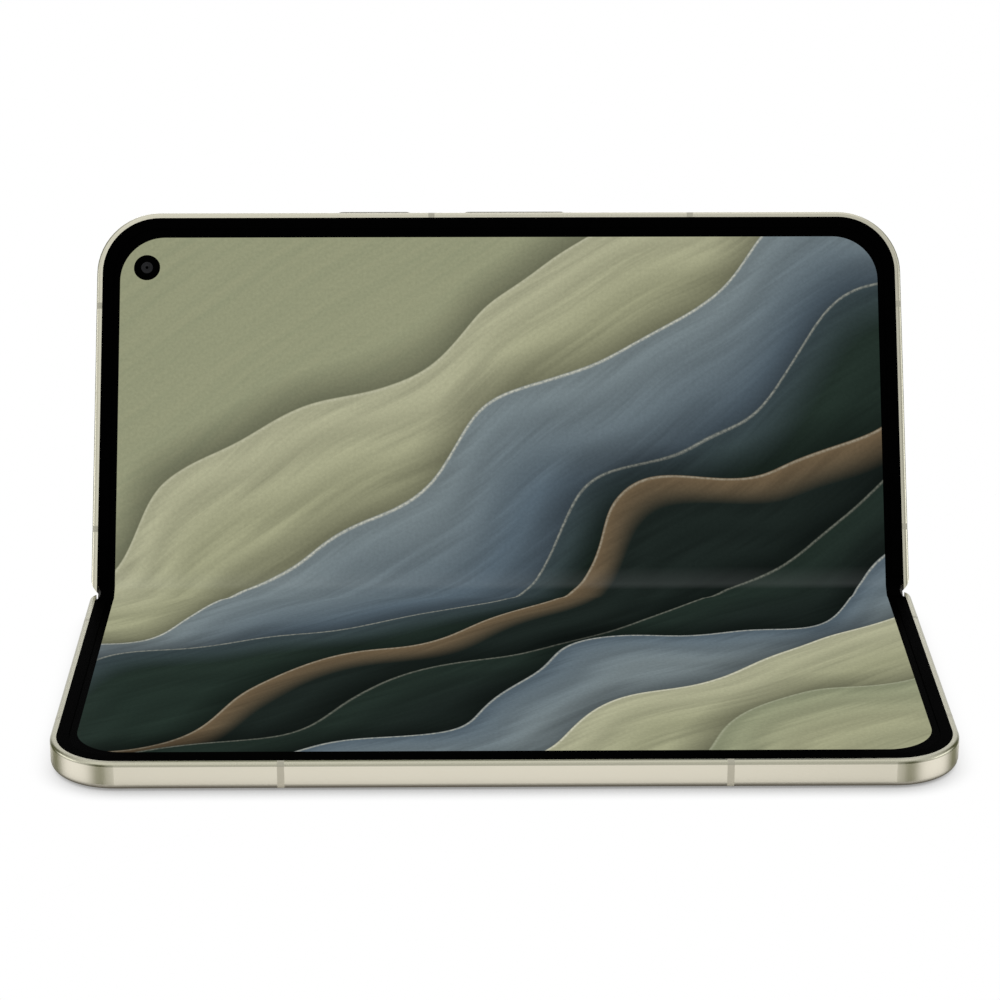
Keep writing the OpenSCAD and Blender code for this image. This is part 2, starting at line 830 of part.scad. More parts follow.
module lens_rings() {
    color([0.3, 0.3, 0.31])
        at_lid() {
            at_wide() lens_ring(wide_r);
            at_ultrawide() lens_ring(ultrawide_r);
            at_tele() lens_ring(tele_r);
            at_flash() lens_ring(flash_r);
        }
}

// Sensor box on the mid plate with a stepped barrel that ends in a domed front lens.
module camera_module(r) {
    front = -deck_h + window_t + ring_t;
    translate([-r, -r, glass_t + 0.3]) cube([2 * r, 2 * r, mid_w - glass_t - 0.3]);
    translate([0, 0, front]) cylinder(r = r - 0.1, h = 1.2 - front);
    difference() {
        translate([0, 0, front - 0.3]) cylinder(r = r - 0.8, h = 0.6);
        translate([0, 0, front - 0.4]) cylinder(r = r * 0.55, h = 0.5);
    }
    intersection() {
        translate([0, 0, front + r * 1.2 - 0.15]) sphere(r = r * 1.2);
        translate([0, 0, front - 1]) cylinder(r = r * 0.55, h = 1.5);
    }
}

module wide_camera() {
    color([0.06, 0.06, 0.08]) at_lid() at_wide() camera_module(wide_r);
}

module ultrawide_camera() {
    color([0.06, 0.06, 0.08]) at_lid() at_ultrawide() camera_module(ultrawide_r);
}

module tele_camera() {
    color([0.06, 0.06, 0.08]) at_lid() at_tele() camera_module(tele_r);
}

module flash_lamp() {
    color([0.95, 0.93, 0.8])
        at_lid() at_flash() {
            translate([0, 0, -deck_h + window_t + ring_t]) cylinder(r = flash_r - 0.1, h = 1);
            translate([-1.6, -1.6, 0]) cube([3.2, 3.2, mid_w]);
        }
}

module lid_bezel() {
    color([0.03, 0.03, 0.03]) at_lid() bezel();
}

module lid_display() {
    color([0.25, 0.29, 0.27])
        at_lid()
            difference() {
                half_plate(wall_t + 0.05, fold_v, display_w0, display_t);
                selfie_place() cylinder(r = selfie_r + 0.05, h = body_t);
            }
}

module lid_support_plate() {
    color([0.6, 0.6, 0.6])
        at_lid()
            difference() {
                support_plate();
                selfie_place() cylinder(r = selfie_r + 0.05, h = body_t);
            }
}

module selfie_camera() {
    color([0.02, 0.02, 0.03])
        at_lid() selfie_place() {
            difference() {
                translate([0, 0, mid_w - 0.2]) cylinder(r = selfie_r, h = display_w1 - 0.03 - mid_w + 0.2);
                translate([0, 0, display_w1 - 0.15]) cylinder(r = selfie_r * 0.48, h = 1);
            }
            translate([-2.6, -2.6, glass_t + 0.5]) cube([5.2, 5.2, mid_w - glass_t - 0.5]);
        }
}

module lid_battery() {
    color([0.15, 0.15, 0.16])
        at_lid()
            slab(lid_cell_x, cell_v, glass_t + coil_t + 0.1,
                lid_cell_x1 - lid_cell_x0, cell_d, mid_w - glass_t - coil_t - 0.1);
}

module main_board() {
    color([0.1, 0.3, 0.2])
        at_lid()
            difference() {
                union() {
                    slab(lid_board_x, cell_v, mid_w - board_t, 14, cell_d + 1, board_t);
                    slab(deck_x, top_board_v, mid_w - board_t, 40, 11, board_t);
                }
                translate([deck_x - 18.5, top_board_v - 3.5, 0]) cylinder(r = 0.8, h = body_t);
                translate([lid_board_x + 5, cell_v + cell_d / 2 - 1.5, 0]) cylinder(r = 0.8, h = body_t);
            }
}

module board_shields() {
    color([0.7, 0.7, 0.72])
        at_lid() {
            slab(lid_board_x, cell_v - 15, mid_w - board_t - 1.2, 12, 24, 1.2);
            slab(lid_board_x, cell_v + 12, mid_w - board_t - 1.0, 12, 24, 1.0);
            slab(deck_x + 2, top_board_v, mid_w - board_t - 1.1, 32, 9, 1.1);
        }
}

module charging_coil() {
    color([0.7, 0.4, 0.2])
        at_lid()
            translate([lid_cell_x, cell_v, glass_t]) {
                for (i = [0 : 5])
                    difference() {
                        cylinder(r = coil_r - coil_step * i, h = coil_t);
                        translate([0, 0, -1]) cylinder(r = coil_r - coil_step * i - 1.2, h = 3);
                    }
                translate([-0.5, 10, 0]) cube([1, 10, coil_t]);
            }
}

module usb_port() {
    color([0.75, 0.75, 0.76])
        at_lid() {
            difference() {
                translate([side_x - 8.5, usb_v - usb_l / 2 - usb_wall, usb_w - usb_h / 2 - usb_wall])
                    cube([8.5 - wall_t, usb_l + 2 * usb_wall, usb_h + 2 * usb_wall]);
                usb_place() translate([0, 0, -1]) linear_extrude(8.8) round_rect(usb_l, usb_h, usb_h / 2 - 0.01);
            }
            translate([side_x - 8, usb_v - 3.3, usb_w - 0.35]) cube([6.2, 6.6, 0.7]);
        }
}

module loudspeaker() {
    color([0.2, 0.2, 0.2])
        at_lid()
            difference() {
                slab(speaker_x, speaker_v, 1.3, speaker_l, speaker_l, mid_w - 1.3);
                slab(speaker_x, speaker_v, 1.2, speaker_l - 6, speaker_l - 6, 0.3);
            }
}

module vibration_motor() {
    color([0.55, 0.55, 0.57])
        at_lid() {
            slab(motor_x, corner_part_v, mid_w - 2.2, 9, 13, 2.2);
            slab(motor_x, corner_part_v, mid_w - 0.3, 12, 16, 0.3);
        }
}

module lid_magnets() {
    color([0.7, 0.7, 0.72]) at_lid() magnet_row();
}

module power_button() {
    color([0.83, 0.79, 0.71])
        at_lid() {
            edge_key(power_x, power_l, key_h, half_d - wall_t - 0.2, half_d + key_out, key_h / 2 - 0.01);
            slab(power_x, half_d - wall_t - 0.3, key_w - key_h / 2, power_l + 1, 0.5, key_h);
        }
}

module volume_rocker() {
    color([0.83, 0.79, 0.71])
        at_lid()
            difference() {
                union() {
                    edge_key(volume_x, volume_l, key_h, half_d - pivot_d, half_d + key_out, key_h / 2 - 0.01);
                    translate([volume_x, half_d - pivot_d, key_w - key_h / 2]) cylinder(r = pivot_r + 0.35, h = key_h);
                }
                slab(volume_x - volume_l / 4 - 0.6, half_d - pivot_d + 0.2, 0, volume_l / 2 - 1, 1, body_t);
                slab(volume_x + volume_l / 4 + 0.6, half_d - pivot_d + 0.2, 0, volume_l / 2 - 1, 1, body_t);
                translate([volume_x, half_d - pivot_d, 0]) cylinder(r = pivot_r + journal_clear, h = body_t);
            }
}

module lid_arm_left() {
    color([0.55, 0.55, 0.56]) at_lid() hinge_arm(-module_x + arm_off);
}

module lid_arm_right() {
    color([0.55, 0.55, 0.56]) at_lid() hinge_arm(module_x + arm_off);
}

module lid_sync_arm() {
    color([0.55, 0.55, 0.56]) at_lid() sync_arm(sector_x, 0.25);
}

module lid_arm_screws() {
    color([0.4, 0.4, 0.42]) at_lid() arm_screws();
}

// ---- hinge ----

module spine_profile(r, top) {
    intersection() {
        union() {
            for (s = [-1, 1])
                translate([s * axis_v, hinge_h]) circle(r);
            translate([-axis_v, hinge_h - r]) square([2 * axis_v, 2 * r]);
        }
        translate([-10, -1]) square([20, top + 1]);
    }
}

module arm_notches(sides) {
    for (s = sides)
        for (x = [-module_x + s * arm_off, s * sector_x, module_x + s * arm_off])
            translate([x - channel_w / 2 - side_clear, s > 0 ? axis_v : -axis_v - 5, notch_w])
                cube([channel_w + 2 * side_clear, 5, 5]);
}

module spine_cover() {
    color([0.78, 0.74, 0.66])
        at_spine()
            difference() {
                along(2 * (spine_x - cap_t))
                    difference() {
                        spine_profile(spine_r, cover_edge);
                        spine_profile(trough_r, body_t);
                    }
                arm_notches([-1, 1]);
            }
}

module spine_caps() {
    color([0.28, 0.27, 0.26])
        at_spine()
            for (s = [-1, 1])
                along(cap_t, s * (spine_x - cap_t / 2)) spine_profile(spine_r, block_top);
}

// Room for one arm: s is the side the arm leaves on.
module channel_profile(s) {
    translate([s * axis_v, hinge_h]) circle(rib_r2 + 0.1);
    translate([s > 0 ? -0.8 : -5, notch_w]) square([5.8, 5]);
}

module groove(s, x, w) {
    translate([x - w / 2, s * axis_v, hinge_h])
        rotate([90, 0, 90]) rotate([0, 0, s > 0 ? 200 : 140]) rotate_extrude(angle = 200)
            translate([rib_r1 - run_clear, 0]) square([rib_r2 - rib_r1 + 2 * run_clear, w]);
}

module hinge_block(x) {
    difference() {
        along(block_w, x) spine_profile(trough_r, block_top);
        for (s = [-1, 1]) {
            along(channel_w, x + s * arm_off) channel_profile(s);
            groove(s, x + s * arm_off, channel_w + 2 * groove_d);
        }
    }
}

module hinge_block_left() {
    color([0.5, 0.5, 0.52]) at_spine() hinge_block(-module_x);
}

module hinge_block_right() {
    color([0.5, 0.5, 0.52]) at_spine() hinge_block(module_x);
}

module sync_block() {
    color([0.5, 0.5, 0.52])
        at_spine()
            difference() {
                along(2 * (chamber_w + cheek_t)) spine_profile(trough_r, block_top);
                along(2 * chamber_w) {
                    channel_profile(-1);
                    channel_profile(1);
                    translate([-pinion_r * 2.2, pinion_h - pinion_r - gear_m]) square([pinion_r * 4.4, 5]);
                }
                for (s = [-1, 1])
                    translate([0, s * pinion_r, pinion_h]) rotate([0, 90, 0])
                        cylinder(r = journal_r + journal_clear, h = 4 * chamber_w, center = true);
            }
}

module sync_pinion(s) {
    phase = s > 0 ? contact + pinion_step / 4 : 180 - contact + pinion_step / 4;
    translate([0, s * pinion_r, pinion_h])
        rotate([-s * tilt * gear_ratio, 0, 0])
            rotate([90, 0, 90]) {
                rotate([0, 0, phase]) linear_extrude(2 * chamber_w - 0.2, center = true) pinion_profile();
                cylinder(r = journal_r, h = 2 * (chamber_w + cheek_t), center = true);
            }
}

module sync_pinion_base() {
    color([0.62, 0.6, 0.55]) at_spine() sync_pinion(-1);
}

module sync_pinion_lid() {
    color([0.62, 0.6, 0.55]) at_spine() sync_pinion(1);
}

// Where a point of the flat display (u from the seam, w up) lies in the spine frame once the halves are tilted.
// It follows its half at fold_v and the spine at the seam, and turns about the hinge line in between.
function ease(t) = t * t * (3 - 2 * t);
function fold_point(u, w) =
    let (
        side = u < 0 ? -1 : 1,
        turn = (1 - ease(max(0, 1 - abs(u) / fold_v))) * tilt,
        p = turned([abs(u) - axis_v, w - hinge_h], turn)
    )
    [side * (axis_v + p[0]), hinge_h + p[1]];

module fold_sheet(w0, w1, half_w) {
    n = 26;
    step = 2 * fold_v / n;
    along(2 * half_w)
        polygon(concat(
            [for (i = [0 : n]) fold_point(-fold_v + i * step, w1)],
            [for (i = [n : -1 : 0]) fold_point(-fold_v + i * step, w0)]));
}

module display_fold() {
    color([0.25, 0.29, 0.27]) at_spine() fold_sheet(display_w0, display_w1, side_x - wall_t - 0.05);
}

module fold_backing() {
    color([0.6, 0.6, 0.6]) at_spine() fold_sheet(backing_w0, display_w0, side_x - ledge_w - 0.1);
}

base_frame();
base_antenna_strips();
cover_glass();
cover_oled();
cover_camera();
base_bezel();
base_display();
base_support_plate();
base_battery();
base_board();
earpiece();
base_magnets();
sim_reader();
sim_tray();
base_arm_left();
base_arm_right();
base_sync_arm();
base_arm_screws();
lid_frame();
lid_antenna_strips();
back_glass();
camera_deck();
camera_windows();
lens_rings();
wide_camera();
ultrawide_camera();
tele_camera();
flash_lamp();
lid_bezel();
lid_display();
lid_support_plate();
selfie_camera();
lid_battery();
main_board();
board_shields();
charging_coil();
usb_port();
loudspeaker();
vibration_motor();
lid_magnets();
power_button();
volume_rocker();
lid_arm_left();
lid_arm_right();
lid_sync_arm();
lid_arm_screws();
spine_cover();
spine_caps();
hinge_block_left();
hinge_block_right();
sync_block();
sync_pinion_base();
sync_pinion_lid();
display_fold();
fold_backing();
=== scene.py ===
"""Looks of a folding phone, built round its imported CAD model.

Blender's lengths are metres, in the row frame of the model. Sizes in this file are millimetres unless their
comment says otherwise. A half is measured by x along the hinge, v away from the seam, and w up from its
outer face to its display. The base lies on the table, the spine is turned by TILT from it, and the lid by
TILT from the spine.
"""

import math

import bmesh
import bpy
import numpy as np
from mathutils import Matrix, Vector


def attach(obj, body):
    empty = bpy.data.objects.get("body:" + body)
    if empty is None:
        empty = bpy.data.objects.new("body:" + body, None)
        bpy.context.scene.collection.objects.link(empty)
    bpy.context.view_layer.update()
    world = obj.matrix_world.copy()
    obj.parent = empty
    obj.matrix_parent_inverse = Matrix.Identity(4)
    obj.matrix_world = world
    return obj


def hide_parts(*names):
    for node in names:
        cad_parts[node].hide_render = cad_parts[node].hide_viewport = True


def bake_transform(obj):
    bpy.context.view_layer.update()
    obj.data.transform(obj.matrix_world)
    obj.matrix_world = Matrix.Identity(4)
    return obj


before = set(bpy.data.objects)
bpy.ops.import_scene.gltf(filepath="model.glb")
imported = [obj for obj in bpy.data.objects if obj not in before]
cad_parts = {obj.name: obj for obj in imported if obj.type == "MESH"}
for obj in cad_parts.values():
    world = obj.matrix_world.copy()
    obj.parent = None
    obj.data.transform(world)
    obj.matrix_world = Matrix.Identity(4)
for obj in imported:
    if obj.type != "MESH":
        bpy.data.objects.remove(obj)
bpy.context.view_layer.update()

MM = 0.001

# ---- sizes repeated from part.scad ----

# A half: length along the hinge, depth, thickness, frame wall, ledge inside it and radius of its inner edge.
BODY_W, HALF_D, BODY_T = 155.2, 75.1, 5.1
WALL_T, LEDGE_W, INNER_EDGE_R = 1.1, 2.4, 0.65
# The hinge: angle between the inner faces, height of a half's hinge line and gap between the closed halves.
OPEN_ANGLE = 120.94
HINGE_H, CLOSED_GAP = 3.9, 0.3
# The outer glass starts this far from the seam.
GLASS_V = 4.9
# The display: height of its top, its thickness and its backing's, and half the depth of its bending part.
DISPLAY_TOP, DISPLAY_T, BACKING_T, FOLD_V = 4.9, 0.4, 0.1, 6.5
# The camera deck on the lid, with its two pill-shaped windows.
DECK_X, DECK_V, DECK_H = -54.0, 46.5, 2.2
PILL_L, PILL_W, PILL_PITCH, WINDOW_T = 36.0, 12.4, 15.0, 0.6
# The rear lenses: their pitch along v, and for each its side of the deck in x and in v, and its radius.
LENS_PITCH = 19.2
LENSES = {"wide_camera": (-1, 1, 4.6), "ultrawide_camera": (-1, -1, 3.9), "tele_camera": (1, 1, 4.2)}
FLASH_SIDES, FLASH_R = (1, -1), 2.2
# The inner camera: how far in from the side and from the end of the lid, and its radius.
SELFIE_IN_X, SELFIE_IN_V, SELFIE_R = 9.6, 10.9, 2.5
# The keys: height of their middle above the lid's back, their height, and how far they stand out.
KEYS = ("power_button", "volume_rocker")
KEY_W, KEY_H, KEY_OUT = 2.45, 1.8, 0.5

TILT = math.radians((180 - OPEN_ANGLE) / 2)
# How far a half's hinge line lies from the seam.
AXIS_V = BODY_T - HINGE_H + CLOSED_GAP / 2
# The seam on the base and the right side, in the row frame. Its origin is the middle of the outer glass.
SEAM_Y = (GLASS_V + HALF_D - WALL_T) / 2
SIDE_X = BODY_W / 2


# ---- places ----

def rotate_x(angle):
    return np.array([[1, 0, 0],
                     [0, math.cos(angle), -math.sin(angle)],
                     [0, math.sin(angle), math.cos(angle)]])


# The hinge lines of the base and of the lid.
AXIS_A = np.array([0, SEAM_Y - AXIS_V, HINGE_H])
AXIS_B = AXIS_A + rotate_x(TILT) @ np.array([0, 2 * AXIS_V, 0])


def lid_point(x, v, w):
    """A point of the lid in the row frame, in mm."""
    return AXIS_B + rotate_x(2 * TILT) @ np.array([x, v - AXIS_V, w - HINGE_H])


def axes_matrix(ex, ey, ez, origin):
    """The frame with these axes and this origin, in metres."""
    m = Matrix.Identity(4)
    for i in range(3):
        m[i][0], m[i][1], m[i][2], m[i][3] = ex[i], ey[i], ez[i], origin[i]
    return m


def lid_matrix(x, v, w, outward=-1):
    """Frame on the lid: local z points out of its back (outward -1) or out of its display (+1)."""
    ex, ev, ew = rotate_x(2 * TILT).T
    if outward < 0:
        ev, ew = -ev, -ew
    return axes_matrix(ex, ev, ew, lid_point(x, v, w) * MM)


# ---- material helpers ----

# Noise textures stay between about these two values.
NOISE_LOW, NOISE_HIGH = 0.3, 0.7


def srgb(r, g, b):
    """A colour given as it looks (0 to 255) as Blender's linear values."""
    def one(c):
        c /= 255
        return c / 12.92 if c <= 0.04045 else ((c + 0.055) / 1.055) ** 2.4
    return (one(r), one(g), one(b), 1.0)


class Nodes:
    """A short way to write a node tree."""

    def __init__(self, owner):
        self.tree = getattr(owner, "node_tree", owner)

    def add(self, kind, inputs=None, **settings):
        node = self.tree.nodes.new(kind)
        for key, value in settings.items():
            setattr(node, key, value)
        for key, value in (inputs or {}).items():
            self.put(node.inputs[key], value)
        return node

    def put(self, socket, value):
        if isinstance(value, bpy.types.NodeSocket):
            self.tree.links.new(value, socket)
        else:
            socket.default_value = value

    def math(self, operation, a, b=0.0, c=0.0):
        return self.add("ShaderNodeMath", {0: a, 1: b, 2: c}, operation=operation).outputs[0]

    def vector(self, operation, a, b=(0, 0, 0)):
        node = self.add("ShaderNodeVectorMath", {0: a, 1: b}, operation=operation)
        return node.outputs["Value" if operation == "DOT_PRODUCT" else "Vector"]

    def scale(self, vector, factor):
        node = self.add("ShaderNodeVectorMath", {0: vector}, operation="SCALE")
        self.put(node.inputs["Scale"], factor)
        return node.outputs["Vector"]

    def noise(self, vector, scale, detail=3.0, roughness=0.5):
        return self.add("ShaderNodeTexNoise", {"Vector": vector, "Scale": scale, "Detail": detail,
                                               "Roughness": roughness}).outputs

    def ramp(self, value, stops, interpolation):
        node = self.add("ShaderNodeValToRGB", {"Fac": value})
        node.color_ramp.interpolation = interpolation
        elements = node.color_ramp.elements
        while len(elements) < len(stops):
            elements.new(0.5)
        for element, (position, colour) in zip(elements, stops):
            element.position, element.color = position, colour
        return node.outputs["Color"]

    def mix(self, factor, a, b):
        node = self.add("ShaderNodeMix", data_type="RGBA")
        for index, value in ((0, factor), (6, a), (7, b)):
            self.put(node.inputs[index], value)
        return node.outputs[2]

    def mix_shader(self, factor, a, b):
        return self.add("ShaderNodeMixShader", {0: factor, 1: a, 2: b}).outputs[0]

    def span(self, value, low, high, out_low, out_high):
        """Maps low to high onto out_low to out_high, and no further."""
        inputs = {0: value, 1: low, 2: high, 3: out_low, 4: out_high}
        return self.add("ShaderNodeMapRange", inputs).outputs[0]

    def spread(self, noise, out_low, out_high):
        """Maps a noise onto out_low to out_high."""
        return self.span(noise, NOISE_LOW, NOISE_HIGH, out_low, out_high)

    def object_place(self):
        return self.add("ShaderNodeTexCoord").outputs["Object"]

    def bump(self, height, depth):
        """Bumps of this depth in metres, into the shader's normal."""
        node = self.add("ShaderNodeBump", {"Height": height, "Strength": 1.0, "Distance": depth})
        self.put(self.shader.inputs["Normal"], node.outputs["Normal"])


def new_material(name):
    material = bpy.data.materials.new(name)
    material.use_nodes = True
    nodes = Nodes(material)
    nodes.shader = material.node_tree.nodes["Principled BSDF"]
    return material, nodes


def scaled(colour, factor):
    return tuple(min(1.0, c * factor) for c in colour[:3]) + (1.0,)


def surface(name, colour, rough, vary, patch, grain, metallic=0.0, bump=0.0, rough_vary=0.05,
            stretch=(1, 1, 1), **constant):
    """A material whose colour and roughness drift by vary and rough_vary, in patches and in a fine grain.

    patch and grain are noise scales per metre, bump is a depth in metres, and stretch is the share of the
    grain's scale along each axis. constant holds further inputs of the shader.
    """
    material, n = new_material(name)
    place = n.object_place()
    drift = n.noise(place, patch)["Fac"]
    fine = n.noise(n.vector("MULTIPLY", place, stretch), grain, detail=2.0)["Fac"]
    tone = n.mix(drift, scaled(colour, 1 - vary), scaled(colour, 1 + vary))
    n.put(n.shader.inputs["Base Color"], n.scale(tone, n.spread(fine, 1 - vary, 1 + vary)))
    both = n.math("MULTIPLY_ADD", fine, 0.5, n.math("MULTIPLY", drift, 0.5))
    n.put(n.shader.inputs["Roughness"], n.spread(both, rough - rough_vary, rough + rough_vary))
    n.shader.inputs["Metallic"].default_value = metallic
    for key, value in constant.items():
        n.shader.inputs[key.replace("_", " ")].default_value = value
    if bump:
        n.bump(fine, bump)
    return material


# ---- the blasted frame metal, the strips in it and the keys ----

# Noise scales per metre, changes of tone and roughness, and depth in metres of the blasted grain.
BLAST_PATCH, BLAST_GRAIN = 35.0, 9000.0
BLAST_DRIFT, BLAST_SPECK, BLAST_ROUGH, BLAST_DEPTH = 0.012, 0.015, 0.03, 4e-7
# Half the width of the step from a wall to its edge, and the width of the rounded edge of a key.
SOFT_STEP, KEY_EDGE = 0.05, 0.18

WALL_TONE = srgb(229, 223, 206)
# Painted shade: rims darker than the walls, the base's more than the lid's, as for a darker reflection.
RIM_SHADE_TONE = srgb(174, 172, 154)
LID_RIM_SHADE_TONE = srgb(190, 187, 170)
# Painted shade: a dark line along the long edges of the keys.
KEY_EDGE_SHADE_TONE = srgb(96, 94, 84)
STRIP_TONE = srgb(196, 190, 171)
# Painted shade: the strips' rims are darker, like the frame's.
STRIP_RIM_SHADE_TONE = srgb(172, 169, 151)
# Metallic, and roughness of the wall and of its edge.
METAL_FINISH = (1.0, 0.31, 0.26)
STRIP_FINISH = (0.0, 0.5, 0.45)


def finish_with_shaded_edges(name, wall_tone, edge_shade_tone, edge, finish):
    """A blasted surface with smoother edges painted darker as shade. edge(n) is 1 on those edges and 0
    elsewhere.
    """
    metallic, wall_rough, edge_rough = finish
    material, n = new_material(name)
    place = n.object_place()
    drift = n.noise(place, BLAST_PATCH)["Fac"]
    fine = n.noise(place, BLAST_GRAIN, detail=2.0)["Fac"]
    edge_finish_and_shade = edge(n)
    # The edges' darker tone is painted shade; their roughness is their own.
    tone = n.mix(edge_finish_and_shade, wall_tone, edge_shade_tone)
    factor = n.math("ADD", n.spread(drift, -BLAST_DRIFT, BLAST_DRIFT),
                    n.spread(fine, 1 - BLAST_SPECK, 1 + BLAST_SPECK))
    n.put(n.shader.inputs["Base Color"], n.scale(tone, factor))
    rough = n.span(edge_finish_and_shade, 0.0, 1.0, wall_rough, edge_rough)
    n.put(n.shader.inputs["Roughness"], n.math("ADD", rough, n.spread(fine, -BLAST_ROUGH, BLAST_ROUGH)))
    n.shader.inputs["Metallic"].default_value = metallic
    n.bump(fine, BLAST_DEPTH)
    return material


def on_lid(n, direction, start):
    """How far a point lies along a direction (x, v, w) of the lid, in mm. The hinge line lies at start."""
    from_axis = n.vector("SUBTRACT", n.object_place(), tuple(AXIS_B * MM))
    along = rotate_x(2 * TILT) @ np.array(direction) / MM
    return n.math("ADD", n.vector("DOT_PRODUCT", from_axis, tuple(along)), start)


def above(n, value, level):
    """1 where value is above level, with a soft step."""
    return n.span(value, level - SOFT_STEP, level + SOFT_STEP, 0.0, 1.0)


def base_rim(n):
    """The rounded inner edge of the base's frame, which the finishes paint darker as shade."""
    height = n.vector("DOT_PRODUCT", n.object_place(), (0, 0, 1 / MM))
    return above(n, height, BODY_T - INNER_EDGE_R)


def lid_rim(n):
    """The rounded inner edge of the lid's frame, which the finish paints darker as shade."""
    return above(n, on_lid(n, (0, 0, 1), HINGE_H), BODY_T - INNER_EDGE_R)


def key_rim(n):
    """The two long rounded edges of the outer face of a key, which its finish paints with a dark line of
    shade.
    """
    outer = above(n, on_lid(n, (0, 1, 0), AXIS_V), HALF_D + KEY_OUT - KEY_EDGE)
    off_middle = n.math("ABSOLUTE", n.math("SUBTRACT", on_lid(n, (0, 0, 1), HINGE_H), KEY_W))
    return n.math("MINIMUM", outer, above(n, off_middle, KEY_H / 2 - KEY_EDGE))


# ---- the other materials ----

# The black round the lit picture, and a specular level at which it mirrors next to nothing.
SCREEN_BLACK = (0.0005, 0.0005, 0.0005, 1)
NO_SHINE = 0.001

LOOKS = {
    "bezel_plastic": dict(colour=SCREEN_BLACK, rough=0.45, vary=0.1, patch=80, grain=9000, bump=1.5e-6,
                          Specular_IOR_Level=NO_SHINE),
    "front_glass": dict(colour=(0.004, 0.004, 0.005, 1), rough=0.06, vary=0.1, patch=30, grain=400,
                        rough_vary=0.03, Specular_IOR_Level=0.2, Coat_Weight=0.1, Coat_Roughness=0.03),
    "back_glass": dict(colour=srgb(214, 206, 187), rough=0.42, vary=0.012, patch=25, grain=12000,
                       bump=1.2e-6, Coat_Weight=0.15, Coat_Roughness=0.35),
    "deck_metal": dict(colour=srgb(216, 208, 190), rough=0.38, vary=0.012, patch=60, grain=9000,
                       metallic=1.0, bump=2e-6, rough_vary=0.03),
    "spine_metal": dict(colour=srgb(206, 197, 178), rough=0.2, vary=0.02, patch=60, grain=2500, metallic=1.0,
                        bump=1e-6, stretch=(0.04, 1, 1)),
    "cap_plastic": dict(colour=srgb(58, 56, 53), rough=0.55, vary=0.08, patch=300, grain=7000, bump=2e-6),
    "window_glass": dict(colour=(0.006, 0.006, 0.007, 1), rough=0.05, vary=0.1, patch=60, grain=500,
                         rough_vary=0.02, Specular_IOR_Level=0.2, Coat_Weight=0.15, Coat_Roughness=0.03),
    "ring_metal": dict(colour=srgb(70, 70, 72), rough=0.3, vary=0.05, patch=400, grain=6000, metallic=1.0,
                       bump=1e-6),
    "steel": dict(colour=srgb(150, 150, 152), rough=0.35, vary=0.04, patch=150, grain=5000, metallic=1.0,
                  bump=1.5e-6, stretch=(0.1, 1, 1)),
    "backing_steel": dict(colour=srgb(150, 150, 152), rough=0.35, vary=0.04, patch=150, grain=5000,
                          metallic=1.0, bump=1.5e-6),
    "gear_steel": dict(colour=srgb(160, 154, 140), rough=0.3, vary=0.04, patch=500, grain=8000, metallic=1.0,
                       bump=1e-6),
    "black_moulding": dict(colour=srgb(28, 28, 30), rough=0.5, vary=0.08, patch=200, grain=7000, bump=2e-6),
    "cell_wrap": dict(colour=srgb(40, 41, 43), rough=0.45, vary=0.06, patch=60, grain=1500, bump=4e-6),
    "circuit_board": dict(colour=srgb(22, 70, 48), rough=0.4, vary=0.12, patch=400, grain=1200, bump=8e-6),
    "coil_copper": dict(colour=srgb(196, 120, 70), rough=0.3, vary=0.06, patch=200, grain=3000, metallic=1.0,
                        bump=2e-6),
    "lens_grey": dict(colour=srgb(34, 34, 36), rough=0.3, vary=0.25, patch=1200, grain=6000, bump=1e-6,
                      Specular_IOR_Level=0.05),
    "lens_glass": dict(colour=(0.004, 0.005, 0.009, 1), rough=0.04, vary=0.2, patch=200, grain=600,
                       rough_vary=0.01, Coat_Weight=1.0, Coat_Roughness=0.02, Coat_Tint=(0.55, 0.6, 1.0, 1)),
    "lamp_lens": dict(colour=srgb(240, 228, 176), rough=0.25, vary=0.05, patch=900, grain=1600, bump=2e-5),
}

# The CAD nodes that wear each of them.
WEARERS = {
    "bezel_plastic": ("base_bezel", "lid_bezel", "cover_oled", "selfie_camera"),
    "front_glass": ("cover_glass",),
    "back_glass": ("back_glass",),
    "deck_metal": ("camera_deck",),
    "spine_metal": ("spine_cover",),
    "cap_plastic": ("spine_caps",),
    "window_glass": ("camera_windows",),
    "ring_metal": ("lens_rings",),
    "steel": ("base_support_plate", "lid_support_plate", "fold_backing", "base_magnets", "lid_magnets",
              "sim_reader", "board_shields", "usb_port", "vibration_motor", "base_arm_screws",
              "lid_arm_screws", "hinge_block_left", "hinge_block_right", "sync_block", "base_arm_left",
              "base_arm_right", "base_sync_arm", "lid_arm_left", "lid_arm_right", "lid_sync_arm"),
    "gear_steel": ("sync_pinion_base", "sync_pinion_lid"),
    "black_moulding": ("cover_camera", "earpiece", "loudspeaker", "wide_camera", "ultrawide_camera",
                       "tele_camera"),
    "cell_wrap": ("base_battery", "lid_battery"),
    "circuit_board": ("base_board", "main_board"),
    "coil_copper": ("charging_coil",),
    "lamp_lens": ("flash_lamp",),
}


def dress(material, *nodes):
    for name in nodes:
        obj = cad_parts[name]
        obj.data.materials.clear()
        obj.data.materials.append(material)


# ---- the lit picture ----

# Margins of the lit area from the side and from the end of a half, and the radius of its corners.
IMAGE_SIDE, IMAGE_END, IMAGE_R = 4.5, 5.0, 8.6

SAGE = srgb(155, 156, 126)
SAGE_DARK = srgb(136, 141, 114)
SAGE_PALE = srgb(168, 168, 140)
SLATE = srgb(82, 96, 106)
SLATE_PALE = srgb(116, 127, 130)
SLATE_DARK = srgb(58, 70, 74)
FOREST = srgb(34, 46, 40)
FOREST_DARK = srgb(27, 35, 32)
BRONZE = srgb(112, 95, 72)
CREAM = srgb(214, 212, 194)

